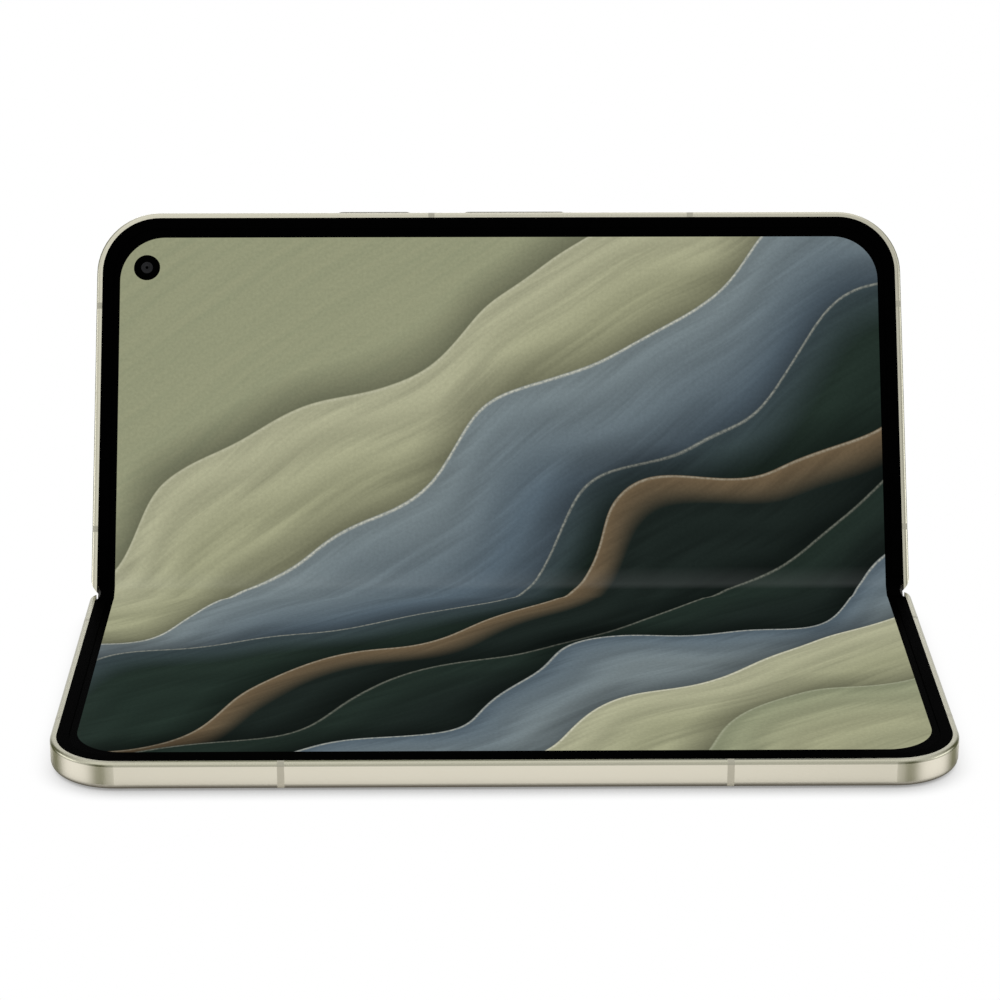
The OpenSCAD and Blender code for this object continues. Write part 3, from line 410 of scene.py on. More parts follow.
# Ribbons of the picture from the back (upper left) to the front (lower right): how far across the display
# the edge of each lies in mm, how far it waves, its tone at the edge, its tone further in, over how many mm
# that changes, and how bright its edge line is.
RIBBONS = [
    (48.0, 9.0, SAGE_PALE, SAGE, 16.0, 0.25),
    (27.0, 12.0, SLATE_PALE, SLATE, 20.0, 0.75),
    (6.0, 9.0, SLATE_DARK, FOREST, 9.0, 0.35),
    (-9.0, 12.0, BRONZE, FOREST_DARK, 7.0, 0.30),
    (-25.0, 8.0, FOREST, FOREST_DARK, 12.0, 0.20),
    (-40.0, 10.0, SLATE, SLATE_PALE, 14.0, 0.55),
    (-54.0, 8.0, SAGE_PALE, SAGE, 14.0, 0.80),
    (-76.0, 9.0, SAGE_DARK, SAGE, 16.0, 0.20),
]
# Directions along and across the ribbons. All noise scales of the picture are per mm.
ALONG, ACROSS = (0.82, 0.57, 0), (-0.57, 0.82, 0)
# The detailed noises of the picture stay between about these two values.
DETAIL_LOW, DETAIL_HIGH = 0.25, 0.75
# The whole picture is shifted by a slow noise, over a range of so many mm.
DRIFT_SCALE, DRIFT_RANGE = 0.02, 14
# Each edge waves with its own stretch of a noise along the ribbons.
WAVE_SCALE, WAVE_START, WAVE_STEP = 0.017, 2.1, 7.3
# Each ribbon shades what lies behind it, over so many mm and down to this share of its brightness.
SHADE_REACH, SHADE_LOW, SHADE_CURVE = 7.0, 0.62, 1.5
# Streaks of silk: noise scales along and across the ribbons, and the brightness between which they vary.
SILK_ALONG, SILK_ACROSS, SILK_TONE = 0.025, 0.55, (0.86, 1.14)
# Pleats that follow the edge: how they widen inwards, how close they lie, how far the silk shifts them, and
# how much they change the brightness.
PLEAT_CURVE, PLEAT_RATE, PLEAT_SHIFT, PLEAT_TONE = 0.75, 1.9, 5.0, 0.07
# The edge line: how far in its middle lies and how wide it is each way. The ribbon sets in over EDGE_SOFT.
LINE_IN, LINE_HALF, EDGE_SOFT = 0.35, 0.42, 0.25
# Fine grain: noise scale, the brightness between which it varies, and how it breaks up the edge line (values
# of the grain at which the line is faintest and whole, and its brightness there).
GRAIN_SCALE, GRAIN_TONE, GRAIN_BREAK = 1.6, (0.90, 1.10), (0.35, 0.6, 0.35, 1.0)


def ribbon(n, behind, index, along, across, silk, grain):
    """Lays one ribbon over what is behind it."""
    edge, wave, near, far, width, line = RIBBONS[index]
    phase = n.math("MULTIPLY_ADD", along, WAVE_SCALE, WAVE_STEP * index + WAVE_START)
    swing = n.add("ShaderNodeTexNoise", {"W": phase, "Scale": 1.0, "Detail": 1.0, "Roughness": 0.35},
                  noise_dimensions="1D").outputs["Fac"]
    swing = n.math("MULTIPLY", n.math("SUBTRACT", swing, 0.5), 4 * wave)
    depth = n.math("SUBTRACT", n.math("ADD", swing, edge), across)
    shade = n.math("POWER", n.span(depth, -SHADE_REACH, 0.0, 1.0, SHADE_LOW), SHADE_CURVE)
    pleat = n.math("POWER", n.math("MAXIMUM", depth, 0.0), PLEAT_CURVE)
    pleat = n.math("MULTIPLY_ADD", pleat, PLEAT_RATE, n.math("MULTIPLY", silk, PLEAT_SHIFT))
    pleat = n.math("MULTIPLY", n.math("SINE", pleat), PLEAT_TONE)
    cloth = n.mix(n.span(depth, 0.0, width, 0.0, 1.0), near, far)
    cloth = n.scale(cloth, n.math("ADD", pleat, n.span(silk, DETAIL_LOW, DETAIL_HIGH, *SILK_TONE)))
    off_line = n.math("ABSOLUTE", n.math("SUBTRACT", depth, LINE_IN))
    glint = n.math("MULTIPLY", n.span(off_line, 0.0, LINE_HALF, line, 0.0), n.span(grain, *GRAIN_BREAK))
    cloth = n.mix(glint, cloth, CREAM)
    return n.mix(n.span(depth, 0.0, EDGE_SOFT, 0.0, 1.0), n.scale(behind, shade), cloth)


def make_picture():
    """An abstract picture of overlapping silky ribbons in muted greens, blues and bronze.

    It is a node group that takes a place on the open display in mm.
    """
    group = bpy.data.node_groups.new("ribbon_picture", "ShaderNodeTree")
    group.interface.new_socket("Flat", in_out="INPUT", socket_type="NodeSocketVector")
    group.interface.new_socket("Color", in_out="OUTPUT", socket_type="NodeSocketColor")
    n = Nodes(group)
    flat = n.add("NodeGroupInput").outputs[0]
    drift = n.noise(flat, DRIFT_SCALE, detail=1.0, roughness=0.4)["Color"]
    drift = n.vector("SUBTRACT", drift, (0.5, 0.5, 0.5))
    bent = n.vector("ADD", flat, n.vector("MULTIPLY", drift, (DRIFT_RANGE, DRIFT_RANGE, 0)))
    along = n.vector("DOT_PRODUCT", bent, ALONG)
    across = n.vector("DOT_PRODUCT", bent, ACROSS)
    grain = n.noise(flat, GRAIN_SCALE, detail=5.0, roughness=0.65)["Fac"]
    streaks = n.add("ShaderNodeCombineXYZ", {0: n.math("MULTIPLY", along, SILK_ALONG),
                                             1: n.math("MULTIPLY", across, SILK_ACROSS)}).outputs[0]
    silk = n.noise(streaks, 1.0, detail=4.0, roughness=0.6)["Fac"]
    colour = n.mix(silk, SAGE, SAGE_DARK)
    for index in range(len(RIBBONS)):
        colour = ribbon(n, colour, index, along, across, silk, grain)
    colour = n.scale(colour, n.span(grain, DETAIL_LOW, DETAIL_HIGH, *GRAIN_TONE))
    group.links.new(colour, group.nodes.new("NodeGroupOutput").inputs[0])
    return group


def rounded_mask(n, x, y):
    """1 inside the lit area of the display, 0 in its black border. x and y are in mm from its middle."""
    half_x, half_y = SIDE_X - IMAGE_SIDE, HALF_D - IMAGE_END
    dx = n.math("MAXIMUM", n.math("SUBTRACT", n.math("ABSOLUTE", x), half_x - IMAGE_R), 0.0)
    dy = n.math("MAXIMUM", n.math("SUBTRACT", n.math("ABSOLUTE", y), half_y - IMAGE_R), 0.0)
    reach = n.math("SQRT", n.math("ADD", n.math("MULTIPLY", dx, dx), n.math("MULTIPLY", dy, dy)))
    return n.math("LESS_THAN", reach, IMAGE_R)


# The crease's painted highlight: brightness and colour, and where it rises and falls on the lid's side of
# the seam.
CREASE_HIGHLIGHT, CREASE_HIGHLIGHT_TINT = 0.018, (0.95, 1.0, 1.0)
CREASE_RISE, CREASE_FALL = (0.5, 1.9), (2.2, 5.4)
# Faint smears on the display: noise scales per mm, and the roughness between which they vary.
SMEAR_SCALE, SMEAR_ROUGH = (0.03, 0.05, 1), (0.2, 0.3)
# The bending sheets carry their flat place in a UV map of this many mm across.
UV_SPAN = 160.0


def painted_crease_highlight(n, y):
    """A painted highlight: a soft pale band on the lid's side of the fold, where a bent sheet would catch
    the light.
    """
    rise, fall = n.span(y, *CREASE_RISE, 0.0, 1.0), n.span(y, *CREASE_FALL, 1.0, 0.0)
    highlight = n.math("MULTIPLY", n.math("MULTIPLY", rise, fall), CREASE_HIGHLIGHT)
    return n.scale(CREASE_HIGHLIGHT_TINT, highlight)


def screen_material(name, place, picture, crease=False):
    """The lit display. place(n) is the place on the open display in mm from its middle, y to the lid."""
    material, n = new_material(name)
    flat = place(n)
    x, y, _ = n.add("ShaderNodeSeparateXYZ", {0: flat}).outputs
    lit = rounded_mask(n, x, y)
    colour = n.add("ShaderNodeGroup", {"Flat": flat}, node_tree=picture).outputs[0]
    # The crease gets a painted highlight.
    if crease:
        colour = n.vector("ADD", colour, painted_crease_highlight(n, y))
    n.put(n.shader.inputs["Emission Color"], n.mix(lit, (0, 0, 0, 1), colour))
    n.shader.inputs["Emission Strength"].default_value = 1.0
    n.shader.inputs["Base Color"].default_value = SCREEN_BLACK
    smear = n.noise(n.vector("MULTIPLY", flat, SMEAR_SCALE), 1.0, detail=4.0, roughness=0.6)["Fac"]
    n.put(n.shader.inputs["Roughness"], n.spread(smear, *SMEAR_ROUGH))
    n.shader.inputs["Specular IOR Level"].default_value = NO_SHINE
    return material


def from_object(offset_mm, turn):
    """Place on the open display from the row frame: shift by offset_mm, then turn about x."""
    def place(n):
        shifted = n.vector("SUBTRACT", n.scale(n.object_place(), 1 / MM), tuple(offset_mm))
        turned = n.add("ShaderNodeVectorRotate", {"Vector": shifted, "Angle": turn}, rotation_type="X_AXIS")
        return n.vector("MULTIPLY", turned.outputs[0], (1, 1, 0))
    return place


def from_uv(n):
    """Place on the open display from the UV map of a bending sheet."""
    here = n.add("ShaderNodeUVMap", uv_map="flat").outputs["UV"]
    return n.scale(n.vector("SUBTRACT", here, (0.5, 0.5, 0)), UV_SPAN)


# ---- geometry helpers ----

# Points round a full circle, and angles in degrees above which an edge is sharp.
ROUND_STEPS = 64
TURNED_SHARP, FOLD_SHARP, BEVEL_SHARP = 35, 50, 40
# Width and steps of the rounded edges of the keys.
KEY_ROUND, BEVEL_STEPS = 0.18, 3
# Points closer than this, in metres, are one point: in a turned piece, and in a mesh of the CAD model.
TURNED_JOIN, CAD_JOIN = 1e-7, 1e-6


def mesh_object(name, verts, faces, material, smooth=True):
    mesh = bpy.data.meshes.new(name)
    mesh.from_pydata([tuple(v) for v in verts], [], faces)
    mesh.update()
    obj = bpy.data.objects.new(name, mesh)
    bpy.context.scene.collection.objects.link(obj)
    if smooth:
        mesh.polygons.foreach_set("use_smooth", [True] * len(mesh.polygons))
    mesh.materials.append(material)
    return obj


def mark_sharp(obj, degrees):
    obj.data.set_sharp_from_angle(angle=math.radians(degrees))


def turned_piece(name, profile, matrix, material, body):
    """A solid of revolution about local z. profile is a list of (radius, height)."""
    verts, faces = [], []
    for r, z in profile:
        for k in range(ROUND_STEPS):
            a = 2 * math.pi * k / ROUND_STEPS
            verts.append(matrix @ Vector((r * MM * math.cos(a), r * MM * math.sin(a), z * MM)))
    for i in range(len(profile) - 1):
        low, high = i * ROUND_STEPS, (i + 1) * ROUND_STEPS
        for k in range(ROUND_STEPS):
            k2 = (k + 1) % ROUND_STEPS
            faces.append((low + k, low + k2, high + k2, high + k))
    obj = mesh_object(name, verts, faces, material)
    clean = bmesh.new()
    clean.from_mesh(obj.data)
    bmesh.ops.remove_doubles(clean, verts=clean.verts, dist=TURNED_JOIN)
    bmesh.ops.recalc_face_normals(clean, faces=clean.faces)
    clean.to_mesh(obj.data)
    clean.free()
    mark_sharp(obj, TURNED_SHARP)
    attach(obj, body)
    return obj


def soften(node, width):
    """Rounds the sharp edges of a CAD node, after joining its faces, which come apart from the file."""
    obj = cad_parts[node]
    weld = obj.modifiers.new("join", "WELD")
    weld.merge_threshold = CAD_JOIN
    bevel = obj.modifiers.new("round", "BEVEL")
    bevel.width = width * MM
    bevel.segments = BEVEL_STEPS
    bevel.limit_method = "ANGLE"
    bevel.angle_limit = math.radians(BEVEL_SHARP)
    bevel.harden_normals = True


# ---- the bending part of the display ----

# The display bends over BEND_V each side of the seam, and its sides are drawn in there by NOTCH.
BEND_V, NOTCH = 3.0, 0.75
# Rows of points over one half of the bending part, and the rounds in which their rest places settle.
FOLD_ROWS, SETTLE_ROUNDS = 49, 60
# Gaps at the sides of the bending sheets to the frame walls and ledges.
WALL_GAP, LEDGE_GAP = 0.05, 0.1


def ease(t):
    t = np.clip(t, 0, 1)
    return t * t * (3 - 2 * t)


def turn_about(points, axis, angle):
    """Turns (y, z) points about an axis along x, each by its own angle."""
    y, z = points[:, 0] - axis[1], points[:, 1] - axis[2]
    c, s = np.cos(angle), np.sin(angle)
    return np.stack([axis[1] + y * c - z * s, axis[2] + y * s + z * c], 1)


# Where the bending starts on the base, and where the seam comes to lie in the photographed pose.
BEND_START = SEAM_Y - BEND_V
BEND_END = turn_about(np.array([[SEAM_Y, DISPLAY_TOP]]), AXIS_A, np.array([TILT]))[0][0]
# The plane between the base's side and the lid's side: its normal and a point on it.
MID_NORMAL = rotate_x(TILT) @ np.array([0, 1, 0])
MID_POINT = AXIS_A + rotate_x(TILT) @ np.array([0, AXIS_V, 0])


def to_lid_side(point):
    """The mirror image on the lid of a point on the base's side."""
    return point - 2 * np.dot(point - MID_POINT, MID_NORMAL) * MID_NORMAL


def fold_rest(u, w):
    """Rest places (y, z) of points of the flat display on the base's side, u from the seam and w up.

    Each round takes that weight from the place of the round before.
    """
    flat = np.stack([SEAM_Y + u, np.full_like(u, w)], 1)
    place = flat.copy()
    for _ in range(SETTLE_ROUNDS):
        weight = ease((place[:, 0] - BEND_START) / (BEND_END - BEND_START))
        place = turn_about(flat, AXIS_A, weight * TILT)
    return place


def fold_piece(name, side, material, node, top, thick, half_w, notch=0.0):
    """Half of a bending sheet: side -1 is next to the base, +1 next to the lid."""
    u = -FOLD_V + FOLD_V * np.linspace(0, 1, FOLD_ROWS)
    verts, uvs = [], []
    for w in (top, top - thick):
        for (y, z), flat_u in zip(fold_rest(u, w), u):
            edge_x = half_w - notch * (1 - ease(abs(flat_u) / BEND_V))
            for x in (-edge_x, edge_x):
                p = np.array([x, y, z])
                if side > 0:
                    p = to_lid_side(p)
                verts.append(p * MM)
                uvs.append((x / UV_SPAN + 0.5, (flat_u if side < 0 else -flat_u) / UV_SPAN + 0.5))
    faces = []
    under = 2 * FOLD_ROWS
    last = under - 2
    for a in range(0, last, 2):
        b, c, d = a + 1, a + 3, a + 2
        faces.append((a, b, c, d))
        faces.append((under + a, under + d, under + c, under + b))
        faces.append((a, d, under + d, under + a))
        faces.append((b, under + b, under + c, c))
    faces.append((0, under, under + 1, 1))
    faces.append((last, last + 1, under + last + 1, under + last))
    if side > 0:
        faces = [tuple(reversed(f)) for f in faces]
    obj = mesh_object(name, verts, faces, material)
    layer = obj.data.uv_layers.new(name="flat")
    for loop in obj.data.loops:
        layer.data[loop.index].uv = uvs[loop.vertex_index]
    mark_sharp(obj, FOLD_SHARP)
    start_p, end_p = np.array([0, BEND_START, DISPLAY_TOP]), np.array([0, BEND_END, DISPLAY_TOP])
    if side > 0:
        start_p, end_p = to_lid_side(start_p), to_lid_side(end_p)
        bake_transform(obj)
    else:
        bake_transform(obj)
    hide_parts(node)


# ---- the inner camera ----

# Turned outlines as (radius, height from SELFIE_TOP), just under the top of the display.
SELFIE_TOP = DISPLAY_TOP - 0.02
SELFIE_DISC = [(0.0, -1.0), (SELFIE_R - 0.02, -1.0), (SELFIE_R - 0.02, -0.03), (SELFIE_R - 0.05, 0.0),
               (1.28, 0.0), (1.2, -0.06), (1.16, -0.16), (0.0, -0.16)]
SELFIE_LENS = [(0.0, -0.15), (1.14, -0.15), (1.12, -0.09), (1.0, -0.06), (0.78, -0.05), (0.7, -0.08),
               (0.62, -0.08), (0.56, -0.05), (0.3, -0.035), (0.0, -0.03)]
SELFIE_IRIS = [(0.0, -0.04), (0.3, -0.04), (0.29, -0.026), (0.2, -0.022), (0.0, -0.02)]


def selfie_camera(looks):
    """The inner camera: a black disc under the glass with a dark grey lens in its middle."""
    place = lid_matrix(-SIDE_X + SELFIE_IN_X, HALF_D - SELFIE_IN_V, 0, outward=1)
    for name, steps, look in (("selfie_disc", SELFIE_DISC, "bezel_plastic"),
                              ("selfie_lens", SELFIE_LENS, "lens_grey"),
                              ("selfie_iris", SELFIE_IRIS, "bezel_plastic")):
        profile = [(r, SELFIE_TOP + z) for r, z in steps]
        turned_piece(name, profile, place, looks[look], "lid")
    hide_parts("selfie_camera")


# ---- the rear cameras and the flash ----

# Gap between a window and the deck, radius of the window's edges and points over that round.
WINDOW_GAP, WINDOW_SOFT, SOFT_STEPS = 0.02, 0.12, 5
# A face of a window is flat from this share of z in its normal.
FLAT_Z = 0.999
# Turned outlines of the rings: (inset from the radius, height above the deck's outer face).
LENS_RING = [(0.02, -1.1), (0.02, -0.12), (0.1, -0.04), (0.22, -0.02), (0.42, -0.06), (0.5, -0.14),
             (0.52, -1.1), (0.02, -1.1)]
FLASH_RING = [(0.02, -1.1), (0.02, -0.12), (0.08, -0.05), (0.2, -0.04), (0.28, -0.12), (0.3, -1.1),
              (0.02, -1.1)]
# The stepped barrel inside a ring: (share of its radius, height), and the inset of that radius.
BARREL_INSET = 0.54
BARREL = [(1, -1.3), (1, -0.3), (0.97, -0.24), (0.88, -0.24), (0.86, -0.34), (0.80, -0.36), (0.79, -0.46),
          (0.73, -0.48), (0.72, -0.6), (0.66, -0.62), (0.58, -0.95), (0, -0.95), (0, -1.3), (1, -1.3)]
# The domed glass: share of the barrel's radius, height of its foot, of its rim and from there to its crown.
DOME_SHARE, DOME_FOOT, DOME_RIM, DOME_RISE = 0.63, -0.94, -0.86, 0.4
DOME_ANGLE, DOME_STEPS = math.pi / 3, 10
# The flash's cover: inset of its radius, and heights of its foot, shoulder, ridges and grooves.
COVER_INSET, COVER_FOOT, COVER_SHOULDER, COVER_RIDGE, COVER_GROOVE = 0.32, -0.7, -0.2, -0.17, -0.24
# How many ridges it has, the share of its radius that they take, and how far a step stands in from the next.
COVER_RIDGES, COVER_SHARE, COVER_STEP = 7, 0.97, 0.02


def deck_matrix(x, v):
    """Frame on the outer face of the camera deck, z out of the back."""
    return lid_matrix(x, v, -DECK_H)


def lens_place(side_x, side_v):
    return DECK_X + side_x * PILL_PITCH / 2, DECK_V + side_v * LENS_PITCH / 2


def circle_loop(r, centre_y):
    """Points of a circle in the deck's frame."""
    angles = [2 * math.pi * k / ROUND_STEPS for k in range(ROUND_STEPS)]
    return [(r * math.cos(a), centre_y + r * math.sin(a)) for a in angles]


def pill_loop(r, run):
    """Points of a pill: two half circles whose centres lie run to each side."""
    angles = [2 * math.pi * (k + 0.5) / ROUND_STEPS for k in range(ROUND_STEPS)]
    return [(r * math.cos(a), r * math.sin(a) + math.copysign(run, math.sin(a))) for a in angles]


def window_piece(name, side, holes, material):
    """One pill of black glass with a round hole over each lens. The edges of its outer face are rounded."""
    def pill(inset):
        return pill_loop(PILL_W / 2 - WINDOW_GAP - inset, (PILL_L - PILL_W) / 2)

    def hole(side_v, r):
        return lambda inset: circle_loop(r + inset, -side_v * LENS_PITCH / 2)

    bm = bmesh.new()
    quarter = np.linspace(0, math.pi / 2, SOFT_STEPS)
    levels = [(WINDOW_SOFT * (1 - math.sin(a)), -WINDOW_SOFT * (1 - math.cos(a))) for a in quarter]
    levels.append((0.0, -WINDOW_T))
    outer_pairs, inner_pairs = [], []
    for shape in [pill] + [hole(side_v, r) for side_v, r in holes]:
        rows = [[bm.verts.new((x, y, z)) for x, y in shape(inset)] for inset, z in levels]
        for upper, lower in zip(rows, rows[1:]):
            for k in range(-ROUND_STEPS, 0):
                bm.faces.new((upper[k], upper[k + 1], lower[k + 1], lower[k]))
        outer_pairs += [(rows[0][k], rows[0][k + 1]) for k in range(-ROUND_STEPS, 0)]
        inner_pairs += [(rows[-1][k], rows[-1][k + 1]) for k in range(-ROUND_STEPS, 0)]
    for pairs in (outer_pairs, inner_pairs):
        bmesh.ops.triangle_fill(bm, use_beauty=True, edges=[bm.edges.get(pair) for pair in pairs])
    bmesh.ops.recalc_face_normals(bm, faces=bm.faces)
    for face in bm.faces:
        face.smooth = abs(face.normal.z) < FLAT_Z
    place = deck_matrix(DECK_X + side * PILL_PITCH / 2, DECK_V)
    for vert in bm.verts:
        vert.co = place @ (vert.co * MM)
    obj = mesh_object(name, [], [], material, smooth=False)
    bm.to_mesh(obj.data)
    bm.free()
    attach(obj, "lid")
    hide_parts("camera_windows")


def rear_lens(looks, node, side_x, side_v, r):
    """A lens behind its window: a turned metal ring, a stepped black barrel and coated domed glass."""
    place = deck_matrix(*lens_place(side_x, side_v))
    ring = [(r - inset, z) for inset, z in LENS_RING]
    turned_piece(node + "_ring", ring, place, looks["ring_metal"], "lid")
    bore = r - BARREL_INSET
    barrel = [(bore * share, z) for share, z in BARREL]
    turned_piece(node + "_barrel", barrel, place, looks["black_moulding"], "lid")
    glass_r = bore * DOME_SHARE
    dome = [(0.0, DOME_FOOT), (glass_r, DOME_FOOT)]
    for k in range(DOME_STEPS + 1):
        a = DOME_ANGLE * (1 - k / DOME_STEPS)
        rise = (math.cos(a) - math.cos(DOME_ANGLE)) / (1 - math.cos(DOME_ANGLE))
        dome.append((glass_r * math.sin(a) / math.sin(DOME_ANGLE), DOME_RIM + DOME_RISE * rise))
    turned_piece(node + "_glass", dome, place, looks["lens_glass"], "lid")
    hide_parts(node)


def flash_piece(looks):
    """The flash: a ring and a milky cover moulded with concentric ridges."""
    place = deck_matrix(*lens_place(*FLASH_SIDES))
    ring = [(FLASH_R - inset, z) for inset, z in FLASH_RING]
    turned_piece("flash_ring", ring, place, looks["ring_metal"], "lid")
    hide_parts("lens_rings")
    cover_r = FLASH_R - COVER_INSET
    cover = [(0.0, COVER_FOOT), (cover_r, COVER_FOOT), (cover_r, COVER_SHOULDER)]
    for k in range(COVER_RIDGES):
        ridge = cover_r * (1 - k / COVER_RIDGES) * COVER_SHARE
        groove = cover_r * (1 - (k + 1) / COVER_RIDGES) * COVER_SHARE + COVER_STEP
        at_middle = k == COVER_RIDGES - 1
        cover += [(ridge, COVER_RIDGE), (0.0 if at_middle else groove, COVER_GROOVE)]
    turned_piece("flash_cover", cover, place, looks["lamp_lens"], "lid")
    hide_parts("flash_lamp")


# ---- stage, light and camera; lengths in this part are metres ----

FLOOR_HALF = 3.0
FLOOR_TONE, FLOOR_ROUGH = (0.8, 0.8, 0.8, 1), 0.9
# Colour under the phone, and the reach and strength of the contact shadow that the camera sees. It is worked
# out from two skies tipped to the back and to the front (y, z), so that it is fainter at the sides.
CONTACT_TONE = (0.1, 0.095, 0.085, 1)
SHADOW_REACH, SHADOW_POWER, SHADOW_DEPTH = 0.0047, 2.0, 0.95
SHADOW_SKIES = ((0.6, 0.8), (-0.6, 0.8))
# The contact shadow in mirrors: its reach, and the nearness at which it starts and is whole.
MIRROR_REACH, MIRROR_CLOSE = 0.006, (0.15, 0.5)
AO_SAMPLES = 16
# Strength of the world on matt surfaces. In mirrors and to the camera it is 1.
WORLD_LIGHT = 0.75
# Colour of the studio's walls in mirrors by azimuth in degrees from the front. A direction leaves the walls
# for the white above and below while its vertical share rises over WALL_END.
WHITE = (1.0, 1.0, 1.0, 1)
GAP = (0.09, 0.1, 0.02, 1)
STUDIO_WALLS = [(0, WHITE), (8, WHITE), (24, GAP), (34, GAP), (54, WHITE),
                (96, WHITE), (120, GAP), (132, GAP), (156, WHITE), (180, WHITE)]
WALL_END = (0.5, 0.85)
# Lamps: name, place, aim, size and power in watts.
LAMPS = [
    ("key", (-0.5, -0.6, 0.9), (0, 0, 0), (0.9, 0.9), 1.0),
    ("top", (0, 0.3, 1.2), (0, 0.02, 0), (1.2, 1.2), 1.3),
    ("left", (-0.92, -0.05, 0.16), (0, 0, 0.02), (0.6, 0.24), 0.8),
    ("right", (0.92, -0.05, 0.16), (0, 0, 0.02), (0.6, 0.24), 0.8),
    ("back", (0, 0.95, 0.14), (0, 0, 0.02), (0.6, 0.24), 0.8),
]
# The photograph's view, fitted to the outlines of the two halves: place, angles in degrees, and the focal
# length in pixels of the square photograph.
VIEW_PLACE = (-0.006531, -0.508491, 0.230038)
VIEW_ELEVATION, VIEW_YAW, VIEW_ROLL = 20.634, 0.6638, 0.0608
FOCAL_PX, PHOTO_PX = 3121.7, 1000
# Width of the camera's sensor in mm, and the distances between which it sees.
SENSOR_W = 36.0
CLIP_NEAR, CLIP_FAR = 0.01, 50


def nearness(n, reach, lean=None):
    """How much of the sky above a floor point the object hides within reach. lean tips that sky (y, z)."""
    node = n.add("ShaderNodeAmbientOcclusion", {"Distance": reach}, samples=AO_SAMPLES)
    if lean:
        n.put(node.inputs["Normal"], n.add("ShaderNodeCombineXYZ", {1: lean[0], 2: lean[1]}).outputs[0])
    return n.math("SUBTRACT", 1.0, node.outputs["AO"])


def floor_material():
    """White floor that camera and mirror rays see through, to the white world.

    It is darkened where the object is close above it. So a pose that swings a half below the table top still
    shows that half. Other rays meet a pale matt surface from above and nothing from below.
    """
    material, n = new_material("floor_white")
    path = n.add("ShaderNodeLightPath").outputs
    below = n.add("ShaderNodeNewGeometry").outputs["Backfacing"]
    clear = n.add("ShaderNodeBsdfTransparent").outputs["BSDF"]
    dark = n.add("ShaderNodeEmission", {"Color": CONTACT_TONE, "Strength": 1.0}).outputs["Emission"]
    contact = n.math("MAXIMUM", *[nearness(n, SHADOW_REACH, lean) for lean in SHADOW_SKIES])
    contact = n.math("MULTIPLY", n.math("POWER", contact, SHADOW_POWER), SHADOW_DEPTH)
    seen = n.mix_shader(contact, clear, dark)
    mirrored = n.mix_shader(n.span(nearness(n, MIRROR_REACH), *MIRROR_CLOSE, 0.0, 1.0), clear, dark)
    n.shader.inputs["Base Color"].default_value = FLOOR_TONE
    n.shader.inputs["Roughness"].default_value = FLOOR_ROUGH
    n.shader.inputs["Specular IOR Level"].default_value = 0.0
    mirror = n.math("MAXIMUM", path["Is Glossy Ray"], path["Is Transmission Ray"])
    lit = n.mix_shader(mirror, n.shader.outputs[0], mirrored)
    lit = n.mix_shader(path["Is Camera Ray"], lit, seen)
    through = n.math("MAXIMUM", path["Is Shadow Ray"], below)
    n.put(n.tree.nodes["Material Output"].inputs["Surface"], n.mix_shader(through, lit, clear))
    return material


def floor_plane():
    mesh = bpy.data.meshes.new("floor")
    corners = [(x * FLOOR_HALF, y * FLOOR_HALF, 0) for x, y in ((-1, -1), (1, -1), (1, 1), (-1, 1))]
    mesh.from_pydata(corners, [], [(0, 1, 2, 3)])
    mesh.materials.append(floor_material())
    floor = bpy.data.objects.new("floor", mesh)
    bpy.context.scene.collection.objects.link(floor)


def studio_walls(n):
    """The studio in mirrors: white walls with dark olive gaps between them, and white above and below."""
    x, y, z = n.add("ShaderNodeSeparateXYZ", {0: n.add("ShaderNodeTexCoord").outputs["Generated"]}).outputs
    azimuth = n.math("ABSOLUTE", n.math("ARCTAN2", x, n.math("MULTIPLY", y, -1.0)))
    stops = [(degrees / 180, colour) for degrees, colour in STUDIO_WALLS]
    wall = n.ramp(n.math("DIVIDE", azimuth, math.pi), stops, "EASE")
    return n.mix(n.span(n.math("ABSOLUTE", z), *WALL_END, 0.0, 1.0), wall, WHITE)


def studio_world():
    world = bpy.data.worlds.new("studio")
    bpy.context.scene.world = world
    world.use_nodes = True
    n = Nodes(world)
    background = world.node_tree.nodes["Background"]
    path = n.add("ShaderNodeLightPath").outputs
    mirror = n.math("MAXIMUM", path["Is Glossy Ray"], path["Is Transmission Ray"])
    n.put(background.inputs["Color"], n.mix(mirror, WHITE, studio_walls(n)))
    seen = n.math("MAXIMUM", mirror, path["Is Camera Ray"])
    n.put(background.inputs["Strength"], n.math("MAXIMUM", seen, WORLD_LIGHT))


def area_light(name, place, aim, size, power):
    light = bpy.data.lights.new(name, "AREA")
    light.shape = "RECTANGLE"
    light.size, light.size_y = size
    light.energy = power
    obj = bpy.data.objects.new(name, light)
    bpy.context.scene.collection.objects.link(obj)
    obj.location = place
    obj.rotation_mode = "QUATERNION"
    obj.rotation_quaternion = (Vector(aim) - Vector(place)).to_track_quat("-Z", "Y")


def photo_camera():
    """The camera of the photograph."""
    elevation, yaw, roll = (math.radians(angle) for angle in (VIEW_ELEVATION, VIEW_YAW, VIEW_ROLL))
    ahead = Vector((math.sin(yaw) * math.cos(elevation), math.cos(yaw) * math.cos(elevation),
                    -math.sin(elevation)))
    level = ahead.cross(Vector((0, 0, 1))).normalized()
    upright = level.cross(ahead)
    right = math.cos(roll) * level + math.sin(roll) * upright
    up = -math.sin(roll) * level + math.cos(roll) * upright
    data = bpy.data.cameras.new("camera")
    data.sensor_width = SENSOR_W
    data.lens = FOCAL_PX / PHOTO_PX * SENSOR_W
    data.clip_start, data.clip_end = CLIP_NEAR, CLIP_FAR
    obj = bpy.data.objects.new("camera", data)
    bpy.context.scene.collection.objects.link(obj)
    obj.matrix_world = axes_matrix(right, up, -ahead, VIEW_PLACE)
    bpy.context.scene.camera = obj


# ---- build ----

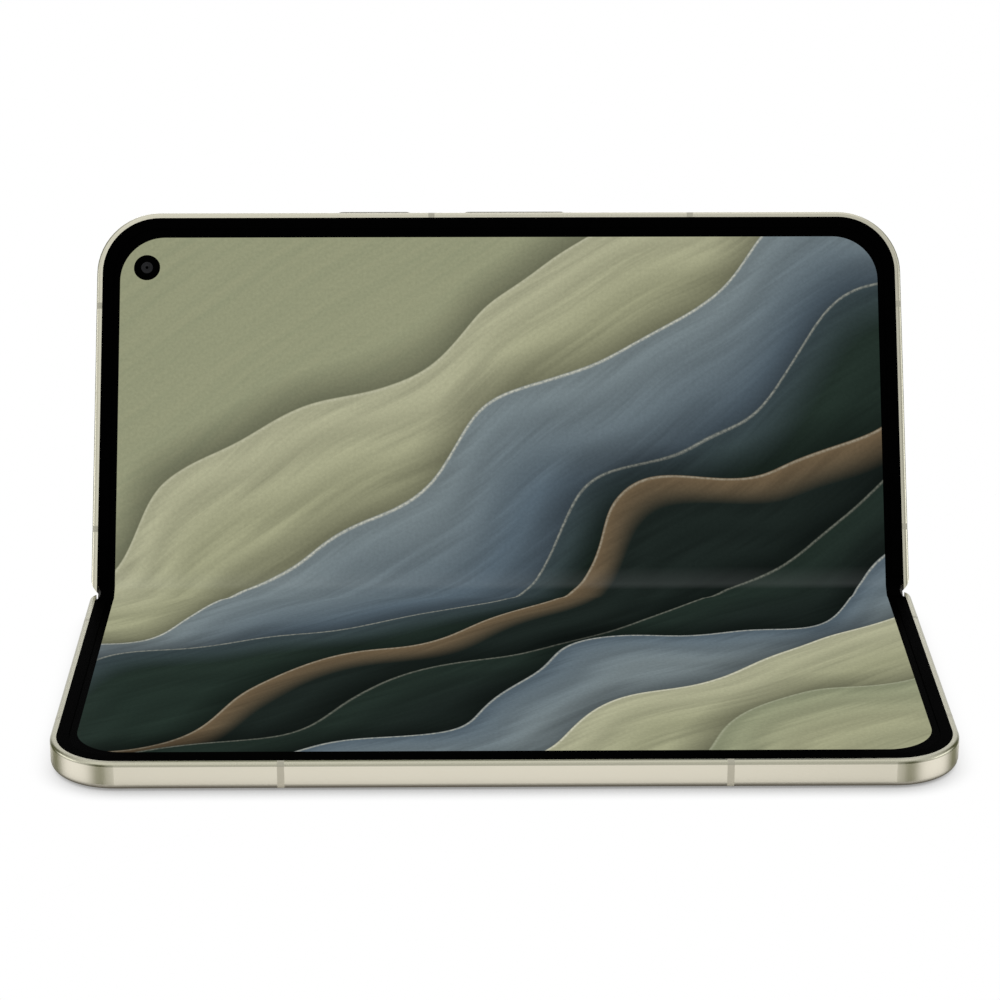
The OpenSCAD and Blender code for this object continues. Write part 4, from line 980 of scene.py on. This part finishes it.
looks = {name: surface(name, **settings) for name, settings in LOOKS.items()}
for name, nodes in WEARERS.items():
    dress(looks[name], *nodes)
# The darker edge tones of the frames, keys and strips are painted shade.
dress(finish_with_shaded_edges("champagne_metal_base", WALL_TONE, RIM_SHADE_TONE, base_rim, METAL_FINISH),
      "base_frame", "sim_tray")
dress(finish_with_shaded_edges("champagne_metal_lid", WALL_TONE, LID_RIM_SHADE_TONE, lid_rim, METAL_FINISH), "lid_frame")
dress(finish_with_shaded_edges("champagne_metal_keys", WALL_TONE, KEY_EDGE_SHADE_TONE, key_rim, METAL_FINISH), *KEYS)
dress(finish_with_shaded_edges("antenna_plastic_base", STRIP_TONE, STRIP_RIM_SHADE_TONE, base_rim, STRIP_FINISH),
      "base_antenna_strips")
dress(finish_with_shaded_edges("antenna_plastic_lid", STRIP_TONE, STRIP_RIM_SHADE_TONE, lid_rim, STRIP_FINISH),
      "lid_antenna_strips")

picture = make_picture()
dress(screen_material("screen_base", from_object((0, SEAM_Y, 0), 0.0), picture), "base_display")
dress(screen_material("screen_lid", from_object(lid_point(0, 0, 0), -2 * TILT), picture), "lid_display")
# The fold's picture carries a painted highlight along the crease.
fold_screen = screen_material("screen_fold", from_uv, picture, crease=True)
for side, half in ((-1, "base"), (1, "lid")):
    fold_piece("fold_screen_" + half, side, fold_screen, "display_fold",
               DISPLAY_TOP, DISPLAY_T, SIDE_X - WALL_T - WALL_GAP, NOTCH)
    fold_piece("fold_backing_" + half, side, looks["backing_steel"], "fold_backing",
               DISPLAY_TOP - DISPLAY_T, BACKING_T, SIDE_X - LEDGE_W - LEDGE_GAP)

selfie_camera(looks)
for name, (side_x, side_v, radius) in LENSES.items():
    rear_lens(looks, name, side_x, side_v, radius)
flash_piece(looks)
left_holes = [(1, LENSES["wide_camera"][2]), (-1, LENSES["ultrawide_camera"][2])]
right_holes = [(1, LENSES["tele_camera"][2]), (-1, FLASH_R)]
window_piece("window_left", -1, left_holes, looks["window_glass"])
window_piece("window_right", 1, right_holes, looks["window_glass"])
for key in KEYS:
    soften(key, KEY_ROUND)

floor_plane()
studio_world()
for lamp in LAMPS:
    area_light(*lamp)
photo_camera()
bpy.context.scene.view_settings.view_transform = "Standard"
